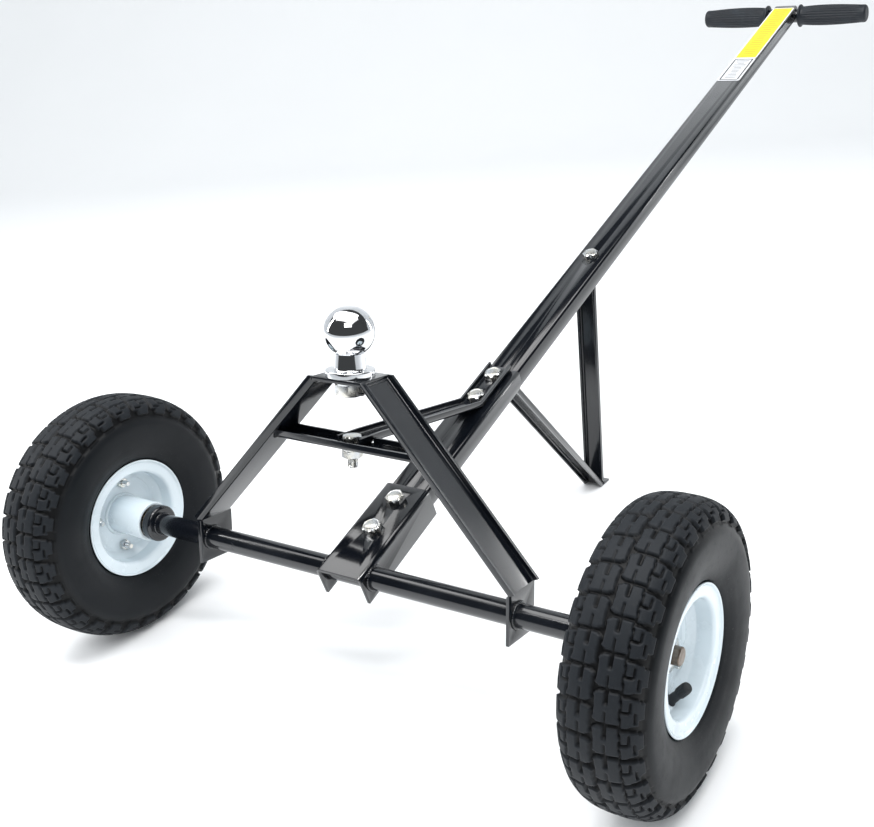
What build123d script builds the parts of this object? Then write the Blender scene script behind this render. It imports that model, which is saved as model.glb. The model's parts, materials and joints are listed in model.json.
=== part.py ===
from build123d import *
import math
import os

# Two-wheeled trailer dolly with a hitch ball. Millimetres and degrees.
# X runs along the axle, Y back towards the handle, Z up. The origin is on the ground,
# in the middle of the dolly's length and width. It stands on both tyres and the stand's foot.

# Stance
wheel_track = 631.4            # between the two wheels' middle planes
beam_angle = 18.0              # the beam's rise above the ground
mast_lean = 8.3                # the mast's backward lean
weld_gap = 0.05                # between faces that a weld joins
slip_fit = 0.02                # radial, between a turned part and the bore that holds it

# Tyre and inner tube
tyre_diameter = 260.0
tyre_width = 76.0
sidewall_bulge = 6.93          # past the shoulder and the neck
shoulder_drop = 12.0           # from the crown down to the shoulder
carcass_wall = 5.0
crown_wall = 8.0
bead_width = 7.0
bead_height = 16.0
bead_corner = 3.0
tube_wall = 2.0
tube_play = 0.5                # all round, between the tube and what holds it

# Rim: two pressed halves bolted together at the wheel's middle plane
bead_seat_diameter = 101.6
rim_flange_height = 11.2
rim_width = 54.0               # over the two flanges
rim_sheet = 2.0
rim_press_radius = 3.0
bead_play = 0.3
cone_rise = 7.8                # from the flat disc's edge out to the drum
drum_start = 9.9               # where the cone meets the drum, off the middle plane
rim_bolt_inset = 7.0           # from the disc's edge in to the bolts' circle
rim_bolt_count = 4
rim_bolt_diameter = 6.0
rim_bolt_length = 16.0
rim_bolt_flats = 10.0
rim_bolt_head = 4.0
rim_nut_height = 5.0
right_wheel_turn = 45.0
left_wheel_turn = 80.0

# Valve, on the cone of the outer half
valve_diameter = 8.0
valve_hole_play = 0.15
valve_inside = 12.0
valve_outside = 14.0
valve_tip_diameter = 7.4
valve_tip_length = 8.0
cap_diameter = 10.0
cap_length = 12.0

# Hub and its two ball bearings
hub_diameter = 41.0
hub_inboard = 50.0             # from the middle plane to the hub's inner end
hub_outboard = 6.0
hub_bore_shoulder = 2.0
bearing_diameter = 35.0
bearing_width = 11.0
bearing_recess = 1.0
race_thickness = 2.8
inner_race_proud = 0.5         # past the hub's end, so that it alone meets the washer
ball_diameter = 6.0
ball_count = 8
ball_play = 0.1
cage_thickness = 1.2
cage_width = 8.0

# Axle
axle_tube_wall = 3.0
spindle_diameter = 15.875
spindle_play = 0.0625          # radial, between the spindle and the tube it is welded into
spindle_in_tube = 60.0
spindle_past_pin = 7.0
collar_diameter = 38.0
collar_length = 12.0
collar_edge = 3.0
axle_washer_diameter = 32.0
axle_washer_thickness = 2.0
cotter_diameter = 3.2
cotter_hole_play = 0.4
cotter_play = 0.3              # between the outer washer and the cotter pin
cotter_reach = 6.0             # past the spindle on each side
cotter_eye_diameter = 9.0

# Beams: three inverted channels, nested one in the next
handle_beam_width = 40.0
handle_beam_depth = 19.0
handle_beam_wall = 2.5
handle_beam_start = 226.0
lower_beam_depth = 20.0
lower_beam_wall = 2.5
lower_beam_start = 15.0
lower_beam_end = 308.0
lower_beam_chamfer = 6.0
bracket_depth = 32.0
bracket_wall = 3.5
bracket_front = -17.0
bracket_end = 107.0
nest_play = 0.25               # each side, between two nested channels
press_bend = 1.5               # inside radius of a pressed corner

# T bar and grips
tbar_place = 1350.0
tbar_diameter = 22.0
tbar_wall = 2.0
tbar_half_length = 138.0
beam_past_tbar = 12.0
grip_inner_end = 27.0
grip_end_wall = 3.0
grip_flange_diameter = 37.0
grip_flange_width = 3.0
grip_waist_diameter = 30.0
grip_belly_diameter = 33.6
grip_tip_diameter = 28.0
grip_tip_edge = 5.0

# Labels on the handle beam
label_thickness = 0.25
label_margin = 2.4             # to the beam's pressed corner
label_corner = 3.0
label_setback = 10.0           # from the handle beam's end
label_gap = 0.5                # between the two labels
warning_label_length = 206.0
info_label_length = 83.5

# Mast: two channel legs, a top plate and a crossbar
mast_back = 5.0                # the mast's middle behind the axle's centre
leg_width = 44.0
leg_depth = 8.0
leg_wall = 3.0
leg_top_x = 25.0               # inner face under the top plate
leg_foot_x = 179.0             # inner face of the upright foot plate
leg_bend_up = 22.0             # where the leg turns into its foot plate
leg_foot_drop = 23.0           # below the axle's centre
top_plate_up = 190.0           # its top face above the axle's centre
top_plate_thickness = 4.0
top_plate_half_length = 28.0
top_plate_edge = 1.5
crossbar_up = 122.0            # its underside above the axle's centre
crossbar_width = 30.0
crossbar_depth = 8.0
crossbar_wall = 2.5
notch_play = 1.0

# Brace strap, from the crossbar to the beams
strap_width = 28.0
strap_depth = 8.0
strap_wall = 2.5
strap_front = -5.0
strap_first_bend = 24.0
strap_second_bend = 240.0

# Stand
stand_width = 26.0
stand_depth = 8.0
stand_wall = 2.5
front_tab_start = 236.0
front_leg_bend = 304.6
foot_y = 505.2                 # behind the axle's centre
foot_length = 14.0
rear_leg_y = 504.5
rear_tab_end = 566.0

# Hitch ball, for a 1-7/8 inch coupler
ball_size = 47.6
ball_rise = 40.0               # from the top plate to the ball's centre
ball_flat = 22.3               # from the ball's centre up to its flat top
ball_neck_diameter = 28.0
ball_neck_flare = 30.0
ball_flange_diameter = 46.0
ball_flange_height = 6.0
ball_flange_edge = 1.2
shank_diameter = 19.05
shank_hole_play = 0.3
shank_past_nut = 2.0
lock_washer_diameter = 29.0
lock_washer_thickness = 3.5
lock_washer_split = 2.0
ball_nut_flats = 27.0
ball_nut_height = 10.0

# Frame fasteners
bolt_diameter = 10.0
bolt_hole_play = 0.5
bolt_flats = 17.0
bolt_head_height = 6.4
nut_height = 8.0
washer_diameter = 20.0
washer_thickness = 2.0
bolt_past_nut = 9.5
joint_bolt_past_nut = 5.0
bracket_bolt_places = (44.0, 86.0)
joint_bolt_places = (252.0, 291.0)
stand_bolt_place = 549.0
bolt_edge = 0.8

# Worked-out places
axle_height = tyre_diameter / 2
half_track = wheel_track / 2
axle_tube_diameter = spindle_diameter + 2 * (spindle_play + axle_tube_wall)
hub_inner_x = half_track - hub_inboard
hub_outer_x = half_track + hub_outboard
axle_end_x = hub_inner_x - inner_race_proud - axle_washer_thickness
cotter_x = hub_outer_x + inner_race_proud + axle_washer_thickness + cotter_play + cotter_diameter / 2
spindle_end_x = cotter_x + spindle_past_pin
lower_beam_width = handle_beam_width + 2 * (nest_play + lower_beam_wall)
bracket_width = lower_beam_width + 2 * (nest_play + bracket_wall)
lower_beam_top = axle_tube_diameter / 2 + weld_gap
bracket_top = lower_beam_top + bracket_wall
handle_beam_top = lower_beam_top - lower_beam_wall
handle_beam_under = handle_beam_top - handle_beam_wall
tbar_drop = handle_beam_under - tbar_diameter / 2 - weld_gap
handle_beam_end = tbar_place + beam_past_tbar
warning_label_end = handle_beam_end - label_setback
warning_label_start = warning_label_end - warning_label_length
info_label_end = warning_label_start - label_gap
grip_tip_x = tbar_half_length + grip_end_wall
top_plate_under = top_plate_up - top_plate_thickness
strap_up = crossbar_up + crossbar_wall

beam_cos = math.cos(math.radians(beam_angle))
beam_sin = math.sin(math.radians(beam_angle))
mast_cos = math.cos(math.radians(mast_lean))
mast_sin = math.sin(math.radians(mast_lean))

# The dolly reaches from the tyres' front to the grips' back, so the axle stands here
tbar_behind_axle = tbar_place * beam_cos - tbar_drop * beam_sin
reach_back = tbar_behind_axle + grip_flange_diameter / 2
axle_y = (tyre_diameter / 2 - reach_back) / 2

RIGHT, BACK, UP = Vector(1, 0, 0), Vector(0, 1, 0), Vector(0, 0, 1)


def on_beam(x, along, above):
    """A point given along the beam and square to it, from the axle's centre."""
    y = along * beam_cos - above * beam_sin
    z = along * beam_sin + above * beam_cos
    return Vector(x, axle_y + y, axle_height + z)


def on_mast(x, back, up):
    """A point given in the leaning mast's own directions, from the axle's centre."""
    y = back * mast_cos + up * mast_sin
    z = up * mast_cos - back * mast_sin
    return Vector(x, axle_y + y, axle_height + z)


beam_along = on_beam(0, 1, 0) - on_beam(0, 0, 0)
beam_up = on_beam(0, 0, 1) - on_beam(0, 0, 0)
mast_across = on_mast(0, 1, 0) - on_mast(0, 0, 0)
mast_up = on_mast(0, 0, 1) - on_mast(0, 0, 0)
mast_plane = Plane(origin=on_mast(0, 0, 0), x_dir=RIGHT, z_dir=mast_up)
axle_line = Plane(origin=(0, axle_y, axle_height), x_dir=BACK, z_dir=RIGHT)


# ---- shared shapes ----

def channel(width, depth, wall):
    """A pressed U section with its web on the X axis and its flanges standing up."""
    outer = Pos(0, depth / 2) * Rectangle(width, depth)
    inner = Pos(0, (depth + wall) / 2) * Rectangle(width - 2 * wall, depth - wall)
    outer = fillet(outer.vertices().group_by(Axis.Y)[0], press_bend + wall)
    inner = fillet(inner.vertices().group_by(Axis.Y)[0], press_bend)
    return outer - inner


def strip(width, wall):
    """A flat section with one face on the X axis."""
    return Pos(0, wall / 2) * Rectangle(width, wall)


def run(section, start, end, across):
    """Carries a section from start to end. Its Y side is the way crossed with across."""
    way = end - start
    return extrude(Plane(origin=start, x_dir=across, z_dir=way) * section, way.length)


def bent(sections, points, across, overrun=40.0):
    """Runs joined by mitres, one section for each run between two points."""
    ways = [(b - a).normalized() for a, b in zip(points, points[1:])]
    pieces = []
    for i, section in enumerate(sections):
        first, last = i == 0, i == len(sections) - 1
        start = points[i] if first else points[i] - ways[i] * overrun
        end = points[i + 1] if last else points[i + 1] + ways[i] * overrun
        piece = run(section, start, end, across)
        if not first:
            mitre = Plane(origin=points[i], z_dir=ways[i - 1] + ways[i])
            piece = split(piece, bisect_by=mitre, keep=Keep.TOP)
        if not last:
            mitre = Plane(origin=points[i + 1], z_dir=ways[i] + ways[i + 1])
            piece = split(piece, bisect_by=mitre, keep=Keep.BOTTOM)
        pieces.append(piece)
    whole = pieces[0]
    for piece in pieces[1:]:
        whole = whole + piece
    return whole


def rod(start, way, radius, length):
    """A round bar from start."""
    return extrude(Plane(origin=start, z_dir=way) * Circle(radius), length)


def ring(start, way, outer_radius, inner_radius, length):
    """A washer or a tube from start."""
    face = Circle(outer_radius) - Circle(inner_radius)
    return extrude(Plane(origin=start, z_dir=way) * face, length)


def axle_rod(x_start, x_end, radius):
    """A round bar on the axle's centre line."""
    return extrude(axle_line.offset(x_start) * Circle(radius), x_end - x_start)


def axle_ring(x_start, x_end, outer_radius, inner_radius):
    """A ring on the axle's centre line."""
    face = Circle(outer_radius) - Circle(inner_radius)
    return extrude(axle_line.offset(x_start) * face, x_end - x_start)


def hex_prism(start, way, flats, height, turn=0):
    """A hexagon bar with the corners of its far end turned off."""
    corner = flats / math.sqrt(3)
    face = Plane(origin=start, z_dir=way) * Rot(0, 0, turn) * RegularPolygon(corner, 6)
    bar = extrude(face, height)
    cone = Plane(origin=start, z_dir=way) * Pos(0, 0, height / 2) * Cylinder(corner, height)
    far_face = cone.faces().sort_by_distance(start + way * (2 * height))[0]
    cone = chamfer(far_face.edges(), bolt_edge)
    return bar & cone


def spun(sketch):
    """Turns a section drawn as (off the wheel's middle, radius) about the right wheel's axle."""
    solid = revolve(Plane.XY * sketch, axis=Axis.X)
    return Pos(half_track, axle_y, axle_height) * solid


def mirrored(shape):
    return mirror(shape, about=Plane.YZ)


def turned(shape, angle):
    """Turns a wheel's part about the axle's centre line."""
    centre = Pos(0, axle_y, axle_height)
    return centre * Rot(angle, 0, 0) * centre.inverse() * shape


def group(shapes):
    """Several separate solids in one node."""
    return Compound(children=[s for shape in shapes for s in shape.solids()])


parts = {}


# ---- wheels, drawn on the right-hand side ----

flange_radius = bead_seat_diameter / 2 + rim_flange_height
shoulder_radius = tyre_diameter / 2 - shoulder_drop
sidewall_middle = (flange_radius + shoulder_radius) / 2
sidewall_half_height = (shoulder_radius - flange_radius) / 2
sidewall_radius = (sidewall_half_height ** 2 + sidewall_bulge ** 2) / (2 * sidewall_bulge)
sidewall_centre = tyre_width / 2 - sidewall_radius


def wall_point(radius, inset):
    """The sidewall's distance off the middle plane at a radius, inset by a thickness."""
    rise = radius - sidewall_middle
    return sidewall_centre + math.sqrt((sidewall_radius - inset) ** 2 - rise ** 2)


def tyre_outline(inset, crown_inset, foot_x, foot_radius, low_radius, corner):
    """A closed section: feet, sidewalls as arcs and a crown arc, inset by the walls."""
    top = tyre_diameter / 2 - crown_inset
    shoulder = shoulder_radius - inset
    low_x, high_x = wall_point(low_radius, inset), wall_point(shoulder, inset)
    side_x = tyre_width / 2 - inset
    edges = [
        Line((foot_x - corner, foot_radius), (foot_x, foot_radius + corner)),
        Line((foot_x, foot_radius + corner), (foot_x, low_radius - bead_play)),
        Line((foot_x, low_radius - bead_play), (low_x, low_radius)),
        ThreePointArc((low_x, low_radius), (side_x, sidewall_middle), (high_x, shoulder)),
        ThreePointArc((high_x, shoulder), (0, top), (-high_x, shoulder)),
        ThreePointArc((-high_x, shoulder), (-side_x, sidewall_middle), (-low_x, low_radius)),
        Line((-low_x, low_radius), (-foot_x, low_radius - bead_play)),
        Line((-foot_x, low_radius - bead_play), (-foot_x, foot_radius + corner)),
        Line((-foot_x, foot_radius + corner), (corner - foot_x, foot_radius)),
        Line((corner - foot_x, foot_radius), (foot_x - corner, foot_radius)),
    ]
    return make_face(edges)


bead_radius = bead_seat_diameter / 2 + slip_fit
bead_x = rim_width / 2 - rim_sheet - bead_play
tube_foot = bead_seat_diameter / 2 + tube_play


def tyre():
    outer = tyre_outline(0, 0, bead_x, bead_radius, flange_radius + 2 * bead_play, bead_corner)
    cavity = tyre_outline(carcass_wall, crown_wall, bead_x - bead_width,
                          bead_radius - 2 * bead_corner, bead_radius + bead_height, bead_corner)
    return spun(outer - cavity)


def tube_outline(inset):
    return tyre_outline(carcass_wall + inset, crown_wall + inset, bead_x - bead_width - inset,
                        tube_foot - tube_play + inset, bead_radius + bead_height + inset, bead_corner)


def inner_tube():
    return spun(tube_outline(tube_play) - tube_outline(tube_play + tube_wall))


drum_radius = (bead_seat_diameter - rim_sheet) / 2
disc_edge_radius = drum_radius - cone_rise
bolt_circle_radius = disc_edge_radius - rim_bolt_inset
disc_x = rim_sheet / 2
rim_edge_x = (rim_width - rim_sheet) / 2
valve_x = (disc_x + drum_start) / 2
valve_radius = (disc_edge_radius + drum_radius) / 2
cone_slope = math.atan2(drum_radius - disc_edge_radius, drum_start - disc_x)
valve_way = Vector(math.sin(cone_slope), 0, math.cos(cone_slope))
valve_root = Vector(half_track + valve_x, axle_y, axle_height - valve_radius)


def rim_half(outer_side):
    """One pressed half: a flat disc, a cone, the bead seat's drum and the flange."""
    hub_fit = hub_diameter / 2 + slip_fit
    path = FilletPolyline((disc_x, hub_fit), (disc_x, disc_edge_radius),
                          (drum_start, drum_radius), (rim_edge_x, drum_radius),
                          (rim_edge_x, flange_radius), radius=rim_press_radius)
    sheet = trace(path, rim_sheet)
    half = spun(sheet if outer_side else mirror(sheet, about=Plane.YZ))
    for centre in rim_bolt_centres():
        radius = rim_bolt_diameter / 2 + bolt_hole_play
        half = half - rod(centre - RIGHT * rim_width, RIGHT, radius, 2 * rim_width)
    if outer_side:
        radius = valve_diameter / 2 + valve_hole_play
        half = half - rod(valve_root - valve_way * rim_sheet * 2, valve_way, radius, rim_sheet * 4)
    return half


def rim_bolt_centres():
    centre = Vector(half_track, axle_y, axle_height)
    for i in range(rim_bolt_count):
        angle = math.radians(right_wheel_turn + 360 / rim_bolt_count * i)
        arm = BACK * math.cos(angle) + UP * math.sin(angle)
        yield centre + arm * bolt_circle_radius


def rim_bolts():
    bolts = []
    for centre in rim_bolt_centres():
        seat = centre + RIGHT * rim_sheet
        head = hex_prism(seat, RIGHT, rim_bolt_flats, rim_bolt_head)
        bolts.append(head + rod(seat, -RIGHT, rim_bolt_diameter / 2, rim_bolt_length))
    return group(bolts)


def rim_nuts():
    nuts = []
    for centre in rim_bolt_centres():
        nut = hex_prism(centre - RIGHT * rim_sheet, -RIGHT, rim_bolt_flats, rim_nut_height)
        nuts.append(nut - rod(centre, -RIGHT, rim_bolt_diameter / 2 + slip_fit, rim_bolt_length))
    return group(nuts)


def valve_stem():
    body = rod(valve_root - valve_way * valve_inside, valve_way,
               valve_diameter / 2, valve_inside + valve_outside)
    tip = rod(valve_root + valve_way * valve_outside, valve_way,
              valve_tip_diameter / 2, valve_tip_length)
    under_tube = axle_rod(half_track - rim_width, half_track + rim_width, tube_foot - weld_gap)
    return (body + tip) & under_tube


def valve_cap():
    start = valve_root + valve_way * valve_outside
    cap = rod(start, valve_way, cap_diameter / 2, cap_length)
    hollow = rod(start, valve_way, valve_tip_diameter / 2 + slip_fit, valve_tip_length + slip_fit)
    return cap - hollow


bearing_radius = bearing_diameter / 2
inner_bearing_x = hub_inner_x + bearing_recess
outer_bearing_x = hub_outer_x - bearing_recess - bearing_width
bearing_starts = (inner_bearing_x, outer_bearing_x)
spindle_radius = spindle_diameter / 2
race_bore = spindle_radius + slip_fit
pitch_radius = (bearing_radius + race_bore) / 2
race_reach = inner_race_proud + bearing_recess


def hub():
    shell = axle_rod(hub_inner_x, hub_outer_x, hub_diameter / 2)
    bore = axle_rod(hub_inner_x, hub_outer_x, bearing_radius - hub_bore_shoulder)
    seats = [axle_rod(start, end, bearing_radius + slip_fit) for start, end in
             ((hub_inner_x, inner_bearing_x + bearing_width), (outer_bearing_x, hub_outer_x))]
    return shell - bore - seats[0] - seats[1]


def ball_groove(start):
    """The ring of space that a bearing's balls roll in."""
    section = Pos(start + bearing_width / 2, pitch_radius) * Circle(ball_diameter / 2 + ball_play)
    solid = revolve(Plane.XY * section, axis=Axis.X)
    return Pos(0, axle_y, axle_height) * solid


def outer_races():
    inside = bearing_radius - race_thickness
    return group([axle_ring(start, start + bearing_width, bearing_radius, inside)
                  - ball_groove(start) for start in bearing_starts])


def inner_races():
    outside = race_bore + race_thickness
    return [axle_ring(start - race_reach, start + bearing_width + race_reach, outside, race_bore)
            - ball_groove(start) for start in bearing_starts]


def ball_centres(start):
    for i in range(ball_count):
        angle = math.radians(360 / ball_count * i)
        arm = BACK * math.cos(angle) + UP * math.sin(angle)
        yield Vector(start + bearing_width / 2, axle_y, axle_height) + arm * pitch_radius


def bearing_balls():
    return group([Pos(*centre) * Sphere(ball_diameter / 2)
                  for start in bearing_starts for centre in ball_centres(start)])


def bearing_cages():
    cages = []
    for start in bearing_starts:
        edge = start + (bearing_width - cage_width) / 2
        cage = axle_ring(edge, edge + cage_width,
                         pitch_radius + cage_thickness / 2, pitch_radius - cage_thickness / 2)
        for centre in ball_centres(start):
            cage = cage - Pos(*centre) * Sphere(ball_diameter / 2 + slip_fit)
        cages.append(cage)
    return group(cages)


wheel_parts = {
    "tyre": tyre(), "inner_tube": inner_tube(),
    "outer_rim_half": rim_half(True), "inner_rim_half": rim_half(False),
    "rim_bolts": rim_bolts(), "rim_nuts": rim_nuts(),
    "valve_stem": valve_stem(), "valve_cap": valve_cap(),
    "hub": hub(), "bearing_outer_races": outer_races(),
    "bearing_balls": bearing_balls(), "bearing_cages": bearing_cages(),
}
for name, shape in wheel_parts.items():
    parts["right_" + name] = shape
    parts["left_" + name] = turned(mirrored(shape), left_wheel_turn - right_wheel_turn)


# ---- axle ----

def spindle():
    bar = axle_rod(axle_end_x - spindle_in_tube, spindle_end_x, spindle_radius)
    bar = chamfer(bar.faces().sort_by(Axis.X)[-1].edges(), bolt_edge)
    hole = rod(Vector(cotter_x, axle_y - spindle_diameter, axle_height), BACK,
               (cotter_diameter + cotter_hole_play) / 2, 2 * spindle_diameter)
    return bar - hole


def cotter_pin():
    """A straight pin through the spindle, with an eye in front and one leg bent down behind."""
    radius = cotter_diameter / 2
    front = Vector(cotter_x, axle_y - spindle_radius - cotter_reach / 2, axle_height)
    back = front + BACK * (spindle_diameter + cotter_reach)
    shaft = rod(front, BACK, radius, (back - front).length)
    eye_centre = front - BACK * (cotter_eye_diameter / 2 - radius)
    eye = Pos(*eye_centre) * Rot(0, 90, 0) * Torus((cotter_eye_diameter - cotter_diameter) / 2, radius)
    leg = rod(back - BACK * radius, -UP, radius, cotter_reach + radius)
    return shaft + eye + leg


def axle_washers():
    inner = axle_ring(axle_end_x, axle_end_x + axle_washer_thickness,
                      axle_washer_diameter / 2, race_bore)
    outer_start = hub_outer_x + inner_race_proud
    outer = axle_ring(outer_start, outer_start + axle_washer_thickness,
                      axle_washer_diameter / 2, race_bore)
    return [inner, outer]


def collar():
    shape = axle_ring(axle_end_x - collar_length, axle_end_x,
                      collar_diameter / 2, axle_tube_diameter / 2 + slip_fit)
    rims = [e for e in shape.edges().filter_by(GeomType.CIRCLE)
            if e.radius > collar_diameter / 2 - slip_fit]
    return fillet(rims, collar_edge)


parts["axle_tube"] = axle_ring(-axle_end_x, axle_end_x, axle_tube_diameter / 2,
                               axle_tube_diameter / 2 - axle_tube_wall)
parts["right_spindle"] = spindle()
parts["left_spindle"] = mirrored(spindle())
for name, shapes in {"axle_collars": [collar()], "axle_washers": axle_washers(),
                     "cotter_pins": [cotter_pin()], "bearing_inner_races": inner_races()}.items():
    parts[name] = group(shapes + [mirrored(s) for s in shapes])


# ---- fasteners of the frame ----

class Stack:
    """A bolt, nut and washer through some sheets: its head's seat, its way and their thickness."""

    def __init__(self, seat, way, thickness, past_nut=bolt_past_nut):
        self.seat, self.way, self.thickness, self.past_nut = seat, way, thickness, past_nut

    def bolt(self):
        length = self.thickness + washer_thickness + nut_height + self.past_nut
        shank = rod(self.seat, self.way, bolt_diameter / 2, length)
        shank = chamfer(shank.faces().sort_by_distance(self.seat + self.way * (2 * length))[0].edges(),
                        bolt_edge)
        return shank + hex_prism(self.seat, -self.way, bolt_flats, bolt_head_height)

    def washer(self):
        return ring(self.seat + self.way * self.thickness, self.way, washer_diameter / 2,
                    bolt_diameter / 2 + slip_fit, washer_thickness)

    def nut(self):
        start = self.seat + self.way * (self.thickness + washer_thickness)
        nut = hex_prism(start, self.way, bolt_flats, nut_height)
        return nut - rod(start - self.way, self.way, bolt_diameter / 2 + slip_fit, nut_height + 2)

    def hole(self):
        radius = bolt_diameter / 2 + bolt_hole_play
        return rod(self.seat - self.way, self.way, radius, self.thickness + 2)


bracket_stacks = [Stack(on_beam(0, place, bracket_top), -beam_up, bracket_wall + lower_beam_wall)
                  for place in bracket_bolt_places]
joint_sheets = strap_wall + lower_beam_wall + handle_beam_wall + stand_wall
joint_stacks = [Stack(on_beam(0, place, lower_beam_top + strap_wall), -beam_up, joint_sheets,
                      joint_bolt_past_nut) for place in joint_bolt_places]
stand_stack = Stack(on_beam(0, stand_bolt_place, handle_beam_top), -beam_up,
                    handle_beam_wall + stand_wall)
crossbar_stack = Stack(on_mast(0, mast_back, strap_up + strap_wall), -mast_up,
                       strap_wall + crossbar_wall)
frame_stacks = bracket_stacks + [stand_stack, crossbar_stack]
all_stacks = frame_stacks + joint_stacks
parts["frame_bolts"] = group([stack.bolt() for stack in frame_stacks])
parts["joint_bolts"] = group([stack.bolt() for stack in joint_stacks])
parts["frame_washers"] = group([stack.washer() for stack in all_stacks])
parts["frame_nuts"] = group([stack.nut() for stack in all_stacks])


def drilled(shape, stacks):
    for stack in stacks:
        shape = shape - stack.hole()
    return shape


# ---- beams ----

axle_hole = axle_rod(-half_track, half_track, axle_tube_diameter / 2 + weld_gap)


def centre_bracket():
    shape = run(channel(bracket_width, bracket_depth, bracket_wall),
                on_beam(0, bracket_front, bracket_top), on_beam(0, bracket_end, bracket_top), RIGHT)
    return drilled(shape - axle_hole, bracket_stacks)


def lower_beam():
    shape = run(channel(lower_beam_width, lower_beam_depth, lower_beam_wall),
                on_beam(0, lower_beam_start, lower_beam_top),
                on_beam(0, lower_beam_end, lower_beam_top), RIGHT)
    corner = on_beam(0, lower_beam_end, lower_beam_top - lower_beam_depth)
    cut = Plane(origin=corner - beam_along * lower_beam_chamfer, x_dir=RIGHT,
                z_dir=beam_along - beam_up)
    shape = split(shape, bisect_by=cut, keep=Keep.BOTTOM)
    return drilled(shape, bracket_stacks + joint_stacks)


def handle_beam():
    shape = run(channel(handle_beam_width, handle_beam_depth, handle_beam_wall),
                on_beam(0, handle_beam_start, handle_beam_top),
                on_beam(0, handle_beam_end, handle_beam_top), RIGHT)
    saddle = rod(on_beam(-handle_beam_width, tbar_place, tbar_drop), RIGHT,
                 tbar_diameter / 2 + weld_gap, 2 * handle_beam_width)
    return drilled(shape - saddle, joint_stacks + [stand_stack])


parts["centre_bracket"] = centre_bracket()
parts["lower_beam"] = lower_beam()
parts["handle_beam"] = handle_beam()


def label(start, end):
    """A thin rounded label on the flat of the handle beam's web."""
    width = handle_beam_width - 2 * (press_bend + handle_beam_wall) + 2 * label_margin
    face = RectangleRounded(width, end - start, label_corner)
    plane = Plane(origin=on_beam(0, (start + end) / 2, handle_beam_top), x_dir=RIGHT, z_dir=beam_up)
    return extrude(plane * face, label_thickness)


parts["warning_label"] = label(warning_label_start, warning_label_end)
parts["info_label"] = label(info_label_end - info_label_length, info_label_end)


# ---- T bar and grips ----

def tbar():
    start = on_beam(-tbar_half_length, tbar_place, tbar_drop)
    return ring(start, RIGHT, tbar_diameter / 2, tbar_diameter / 2 - tbar_wall, 2 * tbar_half_length)


def grip():
    """A barrel-shaped sleeve with a flange at its inner end and a closed outer end."""
    inner, tip = grip_inner_end, grip_tip_x
    bore = tbar_diameter / 2 + slip_fit
    belly_x = (inner + grip_flange_width + tip) / 2
    edges = [
        Polyline((inner, bore), (inner, grip_flange_diameter / 2),
                 (inner + grip_flange_width, grip_flange_diameter / 2),
                 (inner + grip_flange_width, grip_waist_diameter / 2)),
        ThreePointArc((inner + grip_flange_width, grip_waist_diameter / 2),
                      (belly_x, grip_belly_diameter / 2), (tip, grip_tip_diameter / 2)),
        Polyline((tip, grip_tip_diameter / 2), (tip, 0), (tbar_half_length + slip_fit, 0),
                 (tbar_half_length + slip_fit, bore), (inner, bore)),
    ]
    solid = revolve(Plane.XY * make_face(edges), axis=Axis.X)
    solid = fillet(solid.faces().sort_by(Axis.X)[-1].edges(), grip_tip_edge)
    middle = on_beam(0, tbar_place, tbar_drop)
    return Pos(*middle) * solid


parts["handle_bar"] = tbar()
parts["right_grip"] = grip()
parts["left_grip"] = mirrored(grip())


# ---- mast ----

leg_top = Vector(leg_top_x, 0, top_plate_under)
leg_bend = Vector(leg_foot_x, 0, leg_bend_up)
leg_slope = (leg_top_x - leg_foot_x) / (top_plate_under - leg_bend_up)


def place_on_mast(shape):
    """Moves a shape drawn as (across, back from the mast's middle, up) onto the mast."""
    return mast_plane * Pos(0, mast_back, 0) * shape


def leg():
    """A channel that opens outwards; its web turns down into an upright plate on the axle."""
    overrun = (leg_top - leg_bend).normalized() * leg_width
    points = [leg_top + overrun, leg_bend, Vector(leg_foot_x, 0, -leg_foot_drop)]
    shape = bent([channel(leg_width, leg_depth, leg_wall), strip(leg_width, leg_wall)], points, BACK)
    top = Plane(origin=(0, 0, top_plate_up), z_dir=UP)
    shape = split(shape, bisect_by=top, keep=Keep.BOTTOM)
    plate = Pos(0, 0, (top_plate_up + top_plate_under) / 2) * Box(
        2 * (top_plate_half_length + weld_gap), leg_width + 2, top_plate_thickness)
    return place_on_mast(shape - plate) - axle_hole


def top_plate():
    middle = (top_plate_up + top_plate_under) / 2
    plate = Pos(0, 0, middle) * Box(2 * top_plate_half_length, leg_width, top_plate_thickness)
    plate = fillet(plate.edges().filter_by(Axis.Z), top_plate_edge)
    hole = Pos(0, 0, middle) * Cylinder(shank_diameter / 2 + shank_hole_play, 2 * top_plate_thickness)
    return place_on_mast(plate - hole)


def crossbar():
    """An upward-opening channel, mitred to both legs and notched behind for the strap."""
    half = leg_top_x - leg_slope * (top_plate_under - crossbar_up)
    shape = run(channel(crossbar_width, crossbar_depth, crossbar_wall),
                Vector(-half, 0, crossbar_up), Vector(half, 0, crossbar_up), BACK)
    for side in (-1, 1):
        foot = Vector(side * (leg_top_x - weld_gap), 0, top_plate_under)
        mitre = Plane(origin=foot, x_dir=BACK, z_dir=Vector(side, 0, -leg_slope))
        shape = split(shape, bisect_by=mitre, keep=Keep.BOTTOM)
    notch_width = strap_width + 2 * notch_play
    notch = Pos(0, crossbar_width / 2, crossbar_up + crossbar_wall + crossbar_depth / 2) * Box(
        notch_width, 2 * (crossbar_wall + press_bend), crossbar_depth)
    return drilled(place_on_mast(shape - notch), [crossbar_stack])


parts["right_leg"] = leg()
parts["left_leg"] = mirrored(leg())
parts["top_plate"] = top_plate()
parts["crossbar"] = crossbar()


# ---- hitch ball ----

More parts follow.
